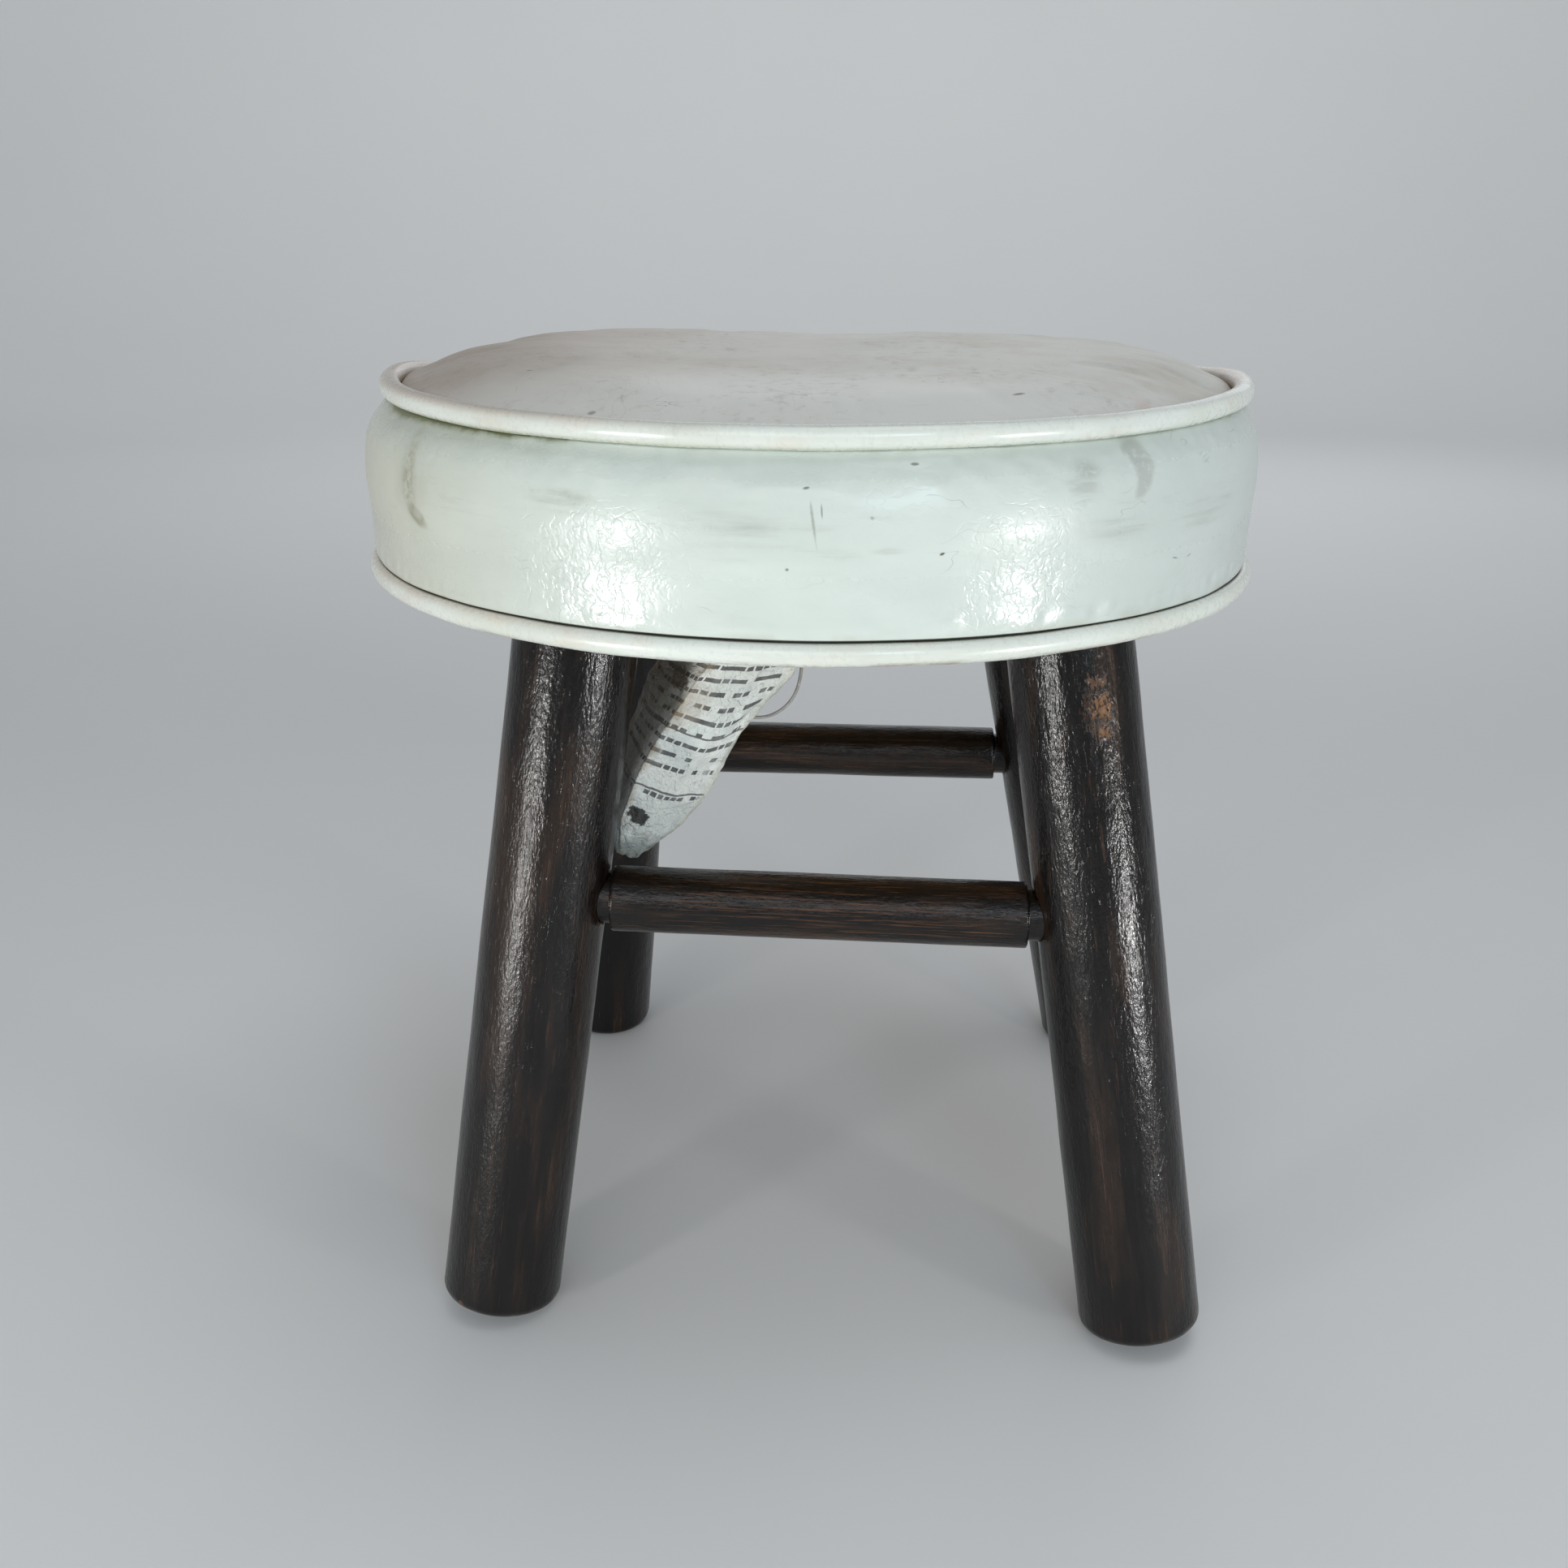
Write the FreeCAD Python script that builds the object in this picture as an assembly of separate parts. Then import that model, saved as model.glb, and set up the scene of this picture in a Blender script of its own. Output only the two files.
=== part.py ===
import FreeCAD, Part
import math
import os
from FreeCAD import Vector as V

# A low round stool: a vinyl-covered drum cushion on a wooden board, on four splayed
# turned legs tied by a front and a rear stretcher.
# Millimetres. +Z up, +X to the sitter's right as seen from the front, -Y is the front.
# Origin: on the floor under the middle of the board.

# ---------------------------------------------------------------- driving dimensions
BOARD_R = 148.2          # wooden board radius
BOARD_T = 19.0           # board thickness
BOARD_Z = 252.0          # underside of the board
BOARD_CHAMFER = 5.2      # eased lower arris that the bottom welt tucks under
VINYL_T = 1.0            # upholstery vinyl with its backing
BULGE_R = 150.6          # radius of the side at its fullest
WELT_R = 3.3             # outer radius of a covered welt
WELT_CORD_R = 2.2        # radius of the filler cord in a welt
TOP_WELT = (142.7, 308.4)      # ring radius and height of the top welt
BOTTOM_WELT = (149.1, 249.6)   # ring radius and height of the bottom welt, the widest part of the cushion
CROWN_EDGE_R = 139.4     # radius where the top panel meets the welt
CROWN_EDGE_Z = 306.9     # height of the top panel at that edge
CROWN_H = 12.6           # rise of the crown above its edge
CROWN_POWER = 6.0        # flat middle and rounded shoulder
BAND_PROFILE = [(149.4, 253.0), (149.75, 256.5), (149.8, 262.0), (150.2, 270.0),
                (BULGE_R, 279.0), (150.3, 287.0), (148.6, 294.5), (145.8, 300.5),
                (142.8, 305.0)]
HEM_IN_R = 126.5         # inner edge of the vinyl turned under the board
HEM_OUT_R = 144.3

LEG_R = 20.3             # leg dowel radius
LEG_EDGE_R = 4.0         # rounding of the foot's edge
FOOT_FLAT = 0.8          # depth worn off each foot to a level flat
TENON_R = 14.0           # leg tenon through the board
SOCKET_GAP = 0.1         # glue clearance on the radius
# leg axis on the floor plane and on the board's underside; the frame is hand fitted,
# so the four splays differ a little, and they stand a little to the right of the cushion
LEGS = {
    "leg_front_left": ((-105.1, -101.0), (-70.6, -63.5)),
    "leg_front_right": ((118.9, -107.0), (82.4, -62.0)),
    "leg_rear_left": ((-99.6, 105.0), (-73.6, 67.0)),
    "leg_rear_right": ((129.4, 101.5), (77.9, 60.5)),
}
WEDGE_TOP = 2.8          # wedge thickness at the top of the tenon
WEDGE_TIP = 0.7
WEDGE_L = 15.0

STRETCHER_R = 10.95
STRETCHER_TENON_R = 8.4
STRETCHER_TENON_STOP = 1.0    # from the tenon's end to the leg's axis
# left leg, right leg, height at the left leg, height at the right leg,
# shoulder clearance from the left leg's surface and from the right leg's surface
STRETCHERS = {
    "front_stretcher": ("leg_front_left", "leg_front_right", 146.5, 143.1, 2.0, 3.0),
    "rear_stretcher": ("leg_rear_left", "leg_rear_right", 144.8, 144.8, 1.9, 2.6),
}

STAPLE_COUNT = 26
STAPLE_RING_R = 134.6
STAPLE_SPAN = 10.0
STAPLE_W = 1.1
STAPLE_T = 0.6
STAPLE_LEG = 8.0

LABEL_T = 0.5            # folded label, thickened to a solid
TIE_D = 1.2              # clear plastic tie
TIE_Y = -35.0
TIE_ROUTE = [(0.4, 252.0), (0.4, 237.5), (-0.8, 221.5), (-2.6, 204.0), (-12.1, 195.5),
             (-23.1, 196.2), (-29.2, 205.5), (-30.8, 219.5), (-30.0, 236.5), (-30.0, 252.0)]

os.makedirs("parts", exist_ok=True)
AXIS = V(0, 0, 1)


def save(name, shape):
    solids = shape.Solids
    ok = shape.isValid() and solids and all(s.isClosed() and s.Volume > 0 for s in solids)
    print("%-22s solids %3d  volume %10.1f  valid %s" % (name, len(solids), shape.Volume, ok))
    shape.exportStep(os.path.join("parts", name + ".step"))
    return shape


def spline(points):
    c = Part.BSplineCurve()
    c.interpolate([V(r, 0, z) for r, z in points])
    return c.toShape()


def line(a, b):
    return Part.makeLine(V(a[0], 0, a[1]), V(b[0], 0, b[1]))


def revolve(edges):
    face = Part.Face(Part.Wire(edges))
    solid = face.revolve(V(0, 0, 0), AXIS, 360)
    solid = Part.Solid(solid.Shells[0]) if not solid.Solids else solid.Solids[0]
    if solid.Volume < 0:
        solid.reverse()
    return solid


def crown_z(r):
    return CROWN_EDGE_Z + CROWN_H * (1 - (r / CROWN_EDGE_R) ** CROWN_POWER)


def inward(points, d):
    """The same open profile moved d towards the axis side, square to itself."""
    out = []
    for i, p in enumerate(points):
        a = points[max(i - 1, 0)]
        b = points[min(i + 1, len(points) - 1)]
        tx, tz = b[0] - a[0], b[1] - a[1]
        n = math.hypot(tx, tz)
        out.append((p[0] - d * tz / n, p[1] + d * tx / n))
    return out


def torus(radius, ring):
    t = Part.makeTorus(ring[0], radius)
    t.translate(V(0, 0, ring[1]))
    return t


# ---------------------------------------------------------------- legs
def leg_axis(name):
    (x0, y0), (x1, y1) = LEGS[name]
    a, b = V(x0, y0, 0), V(x1, y1, BOARD_Z)
    return a, (b - a).normalize()


def on_axis(name, z):
    a, u = leg_axis(name)
    return a + u * ((z - a.z) / u.z)


def half_space(z, below):
    box = Part.makeBox(600, 600, 200, V(-300, -300, z - 200 if below else z))
    return box


wedges = []
legs = {}
sockets = {}
for name in LEGS:
    a, u = leg_axis(name)
    tilt = math.acos(u.z)
    foot_z = -FOOT_FLAT + LEG_EDGE_R - LEG_EDGE_R * math.cos(tilt) + (LEG_R - LEG_EDGE_R) * math.sin(tilt)
    foot = on_axis(name, foot_z)
    body = Part.makeCylinder(LEG_R, 300, foot, u)
    low = [e for e in body.Edges if e.Curve.TypeId == "Part::GeomCircle" and (e.Curve.Center - foot).Length < 1e-3]
    body = body.makeFillet(LEG_EDGE_R, low)
    body = body.cut(half_space(BOARD_Z, False)).cut(half_space(0.0, True))
    # the tenon runs on through the board and is trimmed flush with its top
    t0 = on_axis(name, BOARD_Z - 12)
    tenon = Part.makeCylinder(TENON_R, 60, t0, u).cut(half_space(BOARD_Z + BOARD_T, False))
    leg = body.fuse(tenon).removeSplitter()
    # wedge: a tapered slip across the grain of the board, in a kerf of the same shape
    top = on_axis(name, BOARD_Z + BOARD_T)
    tip = top - u * WEDGE_L
    across = V(0, 1, 0)
    w = u.cross(across).normalize()
    across = w.cross(u).normalize()
    up = top + u * 6
    half_up = (WEDGE_TOP + (WEDGE_TOP - WEDGE_TIP) * 6 / WEDGE_L) / 2
    pts = [tip - w * (WEDGE_TIP / 2), tip + w * (WEDGE_TIP / 2), up + w * half_up, up - w * half_up]
    pts = [p - across * 30 for p in pts]
    wedge = Part.Face(Part.makePolygon(pts + [pts[0]])).extrude(across * 60)
    wedge = wedge.common(Part.makeCylinder(TENON_R, 80, t0 - u * 10, u)).cut(half_space(BOARD_Z + BOARD_T, False))
    leg = leg.cut(wedge)
    wedges.append(wedge.Solids[0])
    sockets[name] = Part.makeCylinder(TENON_R + SOCKET_GAP, 80, on_axis(name, BOARD_Z - 30), u)
    legs[name] = leg
    print(name, "tilt %.1f deg, shoulder at %.1f %.1f" % (math.degrees(tilt), *on_axis(name, BOARD_Z)[:2]))

# ---------------------------------------------------------------- stretchers
stretchers = {}
for name, (left, right, zl, zr, gap_l, gap_r) in STRETCHERS.items():
    pl, pr = on_axis(left, zl), on_axis(right, zr)
    d = (pr - pl).normalize()
    length = (pr - pl).Length

    def surface(leg, p, dirn):
        # distance along dirn from the leg's axis to its surface
        _, u = leg_axis(leg)
        s = (dirn - u * dirn.dot(u)).Length
        return LEG_R / s

    s0 = surface(left, pl, d) + gap_l
    s1 = length - surface(right, pr, d) - gap_r
    body = Part.makeCylinder(STRETCHER_R, s1 - s0, pl + d * s0, d)
    # square shoulders with a touch of sanding
    rims = [e for e in body.Edges if e.Curve.TypeId == "Part::GeomCircle"]
    body = body.makeFillet(0.6, rims)
    t0 = STRETCHER_TENON_STOP
    tenon = Part.makeCylinder(STRETCHER_TENON_R, length - 2 * t0, pl + d * t0, d)
    stretchers[name] = body.fuse(tenon).removeSplitter()
    print(name, "shoulder to shoulder %.1f, over tenons %.1f" % (s1 - s0, length - 2 * t0))
    # blind mortises, bored to the leg's axis
    legs[left] = legs[left].cut(Part.makeCylinder(STRETCHER_TENON_R + SOCKET_GAP, 40, pl, d))
    legs[right] = legs[right].cut(Part.makeCylinder(STRETCHER_TENON_R + SOCKET_GAP, 40, pr, d * -1))

for name, leg in legs.items():
    save(name, leg.Solids[0])
for name, s in stretchers.items():
    save(name, s.Solids[0])
save("leg_wedges", Part.makeCompound(wedges))

# ---------------------------------------------------------------- staples
def staple(x, y, angle, z):
    """A flat-wire staple seen from below: crown under z, legs driven up."""
    w, t = STAPLE_W / 2, STAPLE_T
    crown = Part.makeBox(STAPLE_SPAN, STAPLE_W, t, V(-STAPLE_SPAN / 2, -w, z - t))
    a = Part.makeBox(t, STAPLE_W, STAPLE_LEG + t, V(-STAPLE_SPAN / 2, -w, z - t))
    b = Part.makeBox(t, STAPLE_W, STAPLE_LEG + t, V(STAPLE_SPAN / 2 - t, -w, z - t))
    s = crown.fuse([a, b]).removeSplitter()
    s.rotate(V(0, 0, 0), AXIS, angle)
    s.translate(V(x, y, 0))
    return s.Solids[0]


staples = []
for i in range(STAPLE_COUNT):
    # hand driven, so the pitch, the depth in from the edge and the slant wander
    ang = 360.0 * i / STAPLE_COUNT + 2.2 * math.sin(2.3 * i + 0.4)
    r = STAPLE_RING_R + 1.6 * math.sin(1.7 * i)
    slant = 9.0 * math.sin(3.1 * i + 1.0)
    rad = math.radians(ang)
    staples.append(staple(r * math.cos(rad), r * math.sin(rad), ang + 90 + slant, BOARD_Z - VINYL_T))
hem_staples = Part.makeCompound(staples)
save("hem_staples", hem_staples)

# ---------------------------------------------------------------- label
# rows from the stapled tab down to the free end; each row is left edge, left middle,
# fold, right middle, right edge. The label is folded along its length, fold to the front.
LZ = BOARD_Z - LABEL_T / 2 - 0.02
LABEL = [
    [(-32.6, -39.5, LZ), (-20.1, -39.5, LZ), (-7.1, -39.5, LZ), (5.9, -39.5, LZ), (18.9, -39.5, LZ)],
    [(-33.6, -47.5, LZ), (-21.1, -48.5, LZ), (-8.1, -49.5, LZ), (4.9, -50.0, LZ), (17.9, -50.0, LZ)],
    [(-36.9, -50.5, 247.0), (-24.9, -53.5, 247.0), (-11.9, -57.5, 247.0), (1.1, -56.0, 247.0), (13.4, -53.0, 247.0)],
    [(-42.9, -48.0, 237.0), (-32.4, -54.5, 235.0), (-21.9, -61.5, 234.0), (-9.9, -57.0, 233.0), (2.6, -51.0, 232.5)],
    [(-48.9, -42.5, 222.5), (-41.4, -52.0, 219.5), (-33.6, -62.0, 218.5), (-17.9, -55.0, 216.5), (-3.6, -47.0, 216.8)],
    [(-55.4, -41.0, 207.0), (-49.9, -51.5, 204.0), (-43.6, -62.0, 203.5), (-29.4, -54.5, 197.0), (-18.2, -47.5, 200.5)],
    [(-60.4, -42.5, 195.0), (-56.4, -52.5, 191.5), (-52.2, -62.0, 190.0), (-38.4, -55.0, 183.0), (-28.4, -49.0, 181.5)],
    [(-64.4, -45.5, 181.0), (-61.9, -53.5, 177.5), (-59.0, -61.5, 175.0), (-47.9, -56.5, 169.5), (-37.2, -51.0, 168.5)],
    [(-66.9, -49.5, 168.0), (-64.9, -54.5, 165.5), (-62.7, -59.5, 163.0), (-54.4, -57.5, 158.5), (-45.9, -54.0, 159.5)],
    [(-67.2, -53.0, 159.0), (-64.9, -55.5, 155.5), (-62.4, -58.0, 152.8), (-58.4, -57.5, 151.2), (-52.9, -56.5, 155.5)],
]


def sheet_solid(rows, t):
    n, m = len(rows), len(rows[0])
    P = [[V(*p) for p in r] for r in rows]
    top, bot = [], []
    for i in range(n):
        ta, tb = [], []
        for j in range(m):
            du = P[i][min(j + 1, m - 1)] - P[i][max(j - 1, 0)]
            dv = P[min(i + 1, n - 1)][j] - P[max(i - 1, 0)][j]
            k = du.cross(dv).normalize()
            ta.append(P[i][j] + k * (t / 2))
            tb.append(P[i][j] - k * (t / 2))
        top.append(ta)
        bot.append(tb)
    faces = []

    def tri(a, b, c):
        faces.append(Part.Face(Part.makePolygon([a, b, c, a])))

    def quad(a, b, c, d):
        tri(a, b, c)
        tri(a, c, d)

    for i in range(n - 1):
        for j in range(m - 1):
            quad(top[i][j], top[i][j + 1], top[i + 1][j + 1], top[i + 1][j])
            quad(bot[i][j], bot[i][j + 1], bot[i + 1][j + 1], bot[i + 1][j])
    for j in range(m - 1):
        quad(top[0][j], top[0][j + 1], bot[0][j + 1], bot[0][j])
        quad(top[-1][j], top[-1][j + 1], bot[-1][j + 1], bot[-1][j])
    for i in range(n - 1):
        quad(top[i][0], top[i + 1][0], bot[i + 1][0], bot[i][0])
        quad(top[i][-1], top[i + 1][-1], bot[i + 1][-1], bot[i][-1])
    shell = Part.makeShell(faces)
    shell.sewShape()
    s = Part.makeSolid(shell)
    if s.Volume < 0:
        s.reverse()
    return s


label = sheet_solid(LABEL, LABEL_T)
label_staples = [staple(x, -43.6, a, BOARD_Z - LABEL_T - 0.04) for x, a in ((-20.6, 4.0), (7.9, -6.0))]
label = label.cut(Part.makeCompound(label_staples))
# the tab stays clear of the board by a hair
save("sewn_in_label", label.Solids[0] if len(label.Solids) == 1 else label)
save("label_staples", Part.makeCompound(label_staples))

# ---------------------------------------------------------------- plastic tie
def tube(route, d, y):
    P = [V(x, y, z) for x, z in route]
    edges, last, length = [], P[0], 0.0
    for i in range(1, len(P) - 1):
        a, b, c = P[i - 1], P[i], P[i + 1]
        u, w = (b - a), (c - b)
        run = min(u.Length, w.Length)
        u.normalize()
        w.normalize()
        turn = math.acos(max(-1.0, min(1.0, u.dot(w))))
        cut = 0.45 * run
        radius = cut / math.tan(turn / 2)
        s, e = b - u * cut, b + w * cut
        bis = (w - u).normalize()
        mid = b + bis * (radius / math.cos(turn / 2) - radius)
        print("tie bend %d: turn %.1f deg, radius %.1f" % (i, math.degrees(turn), radius))
        if (s - last).Length > 1e-6:
            edges.append(Part.makeLine(last, s))
        edges.append(Part.Arc(s, mid, e).toShape())
        last = e
    edges.append(Part.makeLine(last, P[-1]))
    wire = Part.Wire(edges)
    u0 = (P[1] - P[0]).normalize()
    prof = Part.Wire(Part.makeCircle(d / 2, P[0], u0))
    s = wire.makePipeShell([prof], True, False)
    s = s.Solids[0] if s.Solids else Part.Solid(s.Shells[0])
    if s.Volume < 0:
        s.reverse()
    print("tie length %.1f, volume %.2f, section times length %.2f" % (
        wire.Length, s.Volume, math.pi * d * d / 4 * wire.Length))
    return s


tie = tube(TIE_ROUTE, TIE_D, TIE_Y)
save("label_tie", tie)

# ---------------------------------------------------------------- board
board = Part.makeCylinder(BOARD_R, BOARD_T, V(0, 0, BOARD_Z))
low = [e for e in board.Edges if e.Curve.TypeId == "Part::GeomCircle" and abs(e.Curve.Center.z - BOARD_Z) < 1e-6]
top = [e for e in board.Edges if e.Curve.TypeId == "Part::GeomCircle" and abs(e.Curve.Center.z - BOARD_Z - BOARD_T) < 1e-6]
board = board.makeChamfer(BOARD_CHAMFER, low)
for s in sockets.values():
    board = board.cut(s)
board = board.cut(Part.makeCompound(staples))
board = board.cut(Part.makeCompound(label_staples))
save("seat_board", board.Solids[0])

# ---------------------------------------------------------------- cushion
band_in = inward(BAND_PROFILE, VINYL_T)
band = revolve([spline(BAND_PROFILE), line(BAND_PROFILE[-1], band_in[-1]), spline(band_in), line(band_in[0], BAND_PROFILE[0])])
save("cover_side_band", band)

rs = [0, 20, 40, 60, 80, 95, 108, 118, 126, 132, 137, CROWN_EDGE_R]
outer = [(r, crown_z(r)) for r in rs]
inner = [(r, z - VINYL_T) for r, z in outer]
panel = revolve([spline(outer), line(outer[-1], inner[-1]), spline(inner), line(inner[0], outer[0])])
save("cover_top_panel", panel)

foam_side = [(r - 0.12, z) for r, z in inward(BAND_PROFILE, VINYL_T) if z > BOARD_Z + BOARD_T + 4]
foam_side = [(band_in[3][0] - 0.1, BOARD_Z + BOARD_T)] + foam_side[:-1] + [(141.2, 303.7)]
foam_top = [(r, z - VINYL_T - 0.05) for r, z in outer[:-1]] + [(138.7, crown_z(138.7) - VINYL_T - 0.05)]
foam = revolve([line((0, BOARD_Z + BOARD_T), foam_side[0]), spline(foam_side), line(foam_side[-1], foam_top[-1]),
                spline(foam_top), line(foam_top[0], (0, BOARD_Z + BOARD_T))])
save("foam_pad", foam)

for name, ring in (("top_welt", TOP_WELT), ("bottom_welt", BOTTOM_WELT)):
    cord = torus(WELT_CORD_R, ring)
    sleeve = torus(WELT_R, ring).cut(torus(WELT_CORD_R + 0.02, ring))
    save(name + "_cord", cord)
    save(name + "_sleeve", sleeve.Solids[0])

hem = Part.makeCylinder(HEM_OUT_R, VINYL_T, V(0, 0, BOARD_Z - VINYL_T)).cut(
    Part.makeCylinder(HEM_IN_R, VINYL_T, V(0, 0, BOARD_Z - VINYL_T)))
hem = hem.cut(Part.makeCompound(staples))
save("cover_bottom_hem", hem.Solids[0])
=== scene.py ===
import math

import bpy
import numpy as np
from mathutils import Matrix, Vector
from mathutils.bvhtree import BVHTree


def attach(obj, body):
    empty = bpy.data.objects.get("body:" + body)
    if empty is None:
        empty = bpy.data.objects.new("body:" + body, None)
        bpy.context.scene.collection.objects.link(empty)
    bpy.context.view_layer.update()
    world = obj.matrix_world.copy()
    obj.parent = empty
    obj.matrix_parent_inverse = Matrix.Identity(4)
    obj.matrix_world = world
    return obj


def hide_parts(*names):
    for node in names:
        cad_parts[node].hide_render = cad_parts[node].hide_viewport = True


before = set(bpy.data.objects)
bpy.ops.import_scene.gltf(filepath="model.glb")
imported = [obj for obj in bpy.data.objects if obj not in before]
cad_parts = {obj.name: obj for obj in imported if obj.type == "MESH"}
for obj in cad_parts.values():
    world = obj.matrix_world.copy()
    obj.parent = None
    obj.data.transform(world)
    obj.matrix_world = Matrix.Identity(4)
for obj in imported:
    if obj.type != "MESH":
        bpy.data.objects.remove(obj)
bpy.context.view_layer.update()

SC = bpy.context.scene
MM = 0.001


# ------------------------------------------------------------------ camera
def make_camera():
    pos = Vector((0.0158946, -0.5452186, 0.3599016))
    yaw, pitch, roll = -0.046, 0.3539, -0.0004
    fwd = Vector((math.sin(yaw) * math.cos(pitch), math.cos(yaw) * math.cos(pitch), -math.sin(pitch)))
    right = Vector((math.cos(yaw), -math.sin(yaw), 0.0))
    down = fwd.cross(right)
    r2 = right * math.cos(roll) + down * math.sin(roll)
    d2 = down * math.cos(roll) - right * math.sin(roll)
    cam = bpy.data.cameras.new("camera")
    cam.lens = 36 * 1893.34 / 1932
    cam.sensor_width = 36
    cam.clip_start, cam.clip_end = 0.01, 30
    ob = bpy.data.objects.new("camera", cam)
    m = Matrix((r2, -d2, -fwd)).transposed().to_4x4()
    m.translation = pos
    ob.matrix_world = m
    SC.collection.objects.link(ob)
    SC.camera = ob


make_camera()


# ------------------------------------------------------------------ label tie: a free loop of clear plastic
TIE_Y = -35
TIE_ROUTE = [(0.4, 252.0), (0.4, 237.5), (-0.8, 221.5), (-2.6, 204.0), (-12.1, 195.5),
             (-23.1, 196.2), (-29.2, 205.5), (-30.8, 219.5), (-30.0, 236.5), (-30.0, 252.0)]
TIE_D = 1.2


def make_tie():
    cu = bpy.data.curves.new("tie_loop", "CURVE")
    cu.dimensions = "3D"
    sp = cu.splines.new("NURBS")
    sp.points.add(len(TIE_ROUTE) - 1)
    for p, (x, z) in zip(sp.points, TIE_ROUTE):
        p.co = (x * MM, TIE_Y * MM, z * MM, 1)
        p.radius = 0.001
    sp.order_u = 3
    sp.use_endpoint_u = True
    cu.resolution_u = 14
    cu.bevel_depth = TIE_D / 2  # the points' radius is 0.001, so the tube is 1.2 mm thick
    cu.bevel_resolution = 4
    cu.use_fill_caps = True
    ob = bpy.data.objects.new("tie_loop", cu)
    SC.collection.objects.link(ob)
    bare = bpy.data.objects.new("tie_bare", cu.copy())
    bare.data.bevel_depth = 0
    me = bpy.data.meshes.new_from_object(bare)
    bpy.data.objects.remove(bare)
    bpy.data.meshes.remove(me)
    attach(ob, "root")
    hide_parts("label_tie")
    return ob


tie = make_tie()


# ------------------------------------------------------------------ noise and mesh helpers (millimetres)
LAT = np.random.default_rng(7).random((48, 48, 48)) * 2 - 1


def vnoise(p, size, seed=0):
    q = np.asarray(p, float) / np.asarray(size, float) + 13.37 * seed + 900
    i = np.floor(q).astype(int)
    f = q - i
    f = f * f * f * (f * (f * 6 - 15) + 10)
    out = 0
    for a in (0, 1):
        wa = f[..., 0] if a else 1 - f[..., 0]
        for b in (0, 1):
            wb = f[..., 1] if b else 1 - f[..., 1]
            for c in (0, 1):
                wc = f[..., 2] if c else 1 - f[..., 2]
                out = out + wa * wb * wc * LAT[(i[..., 0] + a) % 48, (i[..., 1] + b) % 48, (i[..., 2] + c) % 48]
    return out


def fbm(p, size, seed=0, octaves=3):
    size = np.asarray(size, float)
    return sum(vnoise(p, size / 2**k, seed + 5 * k) / 2**k for k in range(octaves)) / (2 - 2.0 ** (1 - octaves))


def sstep(x, a, b):
    t = np.clip((np.asarray(x, float) - a) / (b - a), 0, 1)
    return t * t * (3 - 2 * t)


def spline2(points, n):
    """A smooth line through the points, n samples evenly spaced along it."""
    p = np.array(points, float)
    p = np.vstack([2 * p[0] - p[1], p, 2 * p[-1] - p[-2]])
    out = []
    for k in range(1, len(p) - 2):
        t = np.linspace(0, 1, 40, endpoint=False)[:, None]
        a, b, c, d = p[k - 1 : k + 3]
        out.append(0.5 * (2 * b + (c - a) * t + (2 * a - 5 * b + 4 * c - d) * t**2 + (3 * b - a - 3 * c + d) * t**3))
    out = np.vstack(out + [p[-2][None]])
    s = np.concatenate([[0], np.cumsum(np.linalg.norm(np.diff(out, axis=0), axis=1))])
    at = np.linspace(0, s[-1], n)
    return np.stack([np.interp(at, s, out[:, k]) for k in range(out.shape[1])], 1)


def faces_of(nr, nt, wrap, base=0, flip=False):
    i = np.arange(nr - 1)[:, None]
    j = np.arange(nt if wrap else nt - 1)[None, :]
    j2 = (j + 1) % nt
    a, b, c, d = (base + i * nt + j, base + i * nt + j2, base + (i + 1) * nt + j2, base + (i + 1) * nt + j)
    q = np.stack([a, b, c, d], -1).reshape(-1, 4)
    return q[:, ::-1] if flip else q


def make_mesh(name, verts, faces, smooth=True):
    me = bpy.data.meshes.new(name)
    me.from_pydata((np.asarray(verts) * MM).tolist(), [], [tuple(int(x) for x in f) for f in faces])
    me.update()
    if smooth:
        me.polygons.foreach_set("use_smooth", [True] * len(me.polygons))
    ob = bpy.data.objects.new(name, me)
    SC.collection.objects.link(ob)
    return ob


def apply_all(ob):
    """Bakes the object's modifiers into its mesh."""
    dg = bpy.context.evaluated_depsgraph_get()
    me = bpy.data.meshes.new_from_object(ob.evaluated_get(dg), preserve_all_data_layers=True, depsgraph=dg)
    ob.modifiers.clear()
    old = ob.data
    ob.data = me
    bpy.data.meshes.remove(old)
    me.name = ob.name
    return ob


def coords(ob):
    co = np.zeros(len(ob.data.vertices) * 3)
    ob.data.vertices.foreach_get("co", co)
    return co.reshape(-1, 3) / MM


def outward(ob):
    """Turns the normals of a closed mesh outward."""
    import bmesh
    bm = bmesh.new()
    bm.from_mesh(ob.data)
    bmesh.ops.recalc_face_normals(bm, faces=bm.faces)
    bm.to_mesh(ob.data)
    bm.free()


# ------------------------------------------------------------------ shader helpers
def lin(r, g, b):
    f = lambda c: (c / 255 / 12.92) if c / 255 <= 0.04045 else ((c / 255 + 0.055) / 1.055) ** 2.4
    return (f(r), f(g), f(b), 1.0)


G = []


class V:
    """A shader value. Arithmetic on it adds Math nodes to the current tree."""

    def __init__(s, k):
        s.k = k

    def __add__(a, b):
        return M("ADD", a, b)

    __radd__ = __add__

    def __mul__(a, b):
        return M("MULTIPLY", a, b)

    __rmul__ = __mul__

    def __sub__(a, b):
        return M("SUBTRACT", a, b)

    def __rsub__(a, b):
        return M("SUBTRACT", b, a)

    def __truediv__(a, b):
        return M("DIVIDE", a, b)

    def __pow__(a, b):
        return M("POWER", a, b)


def _set(node, i, v):
    if isinstance(v, V):
        G[-1].links.new(v.k, node.inputs[i])
    else:
        node.inputs[i].default_value = v


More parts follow.
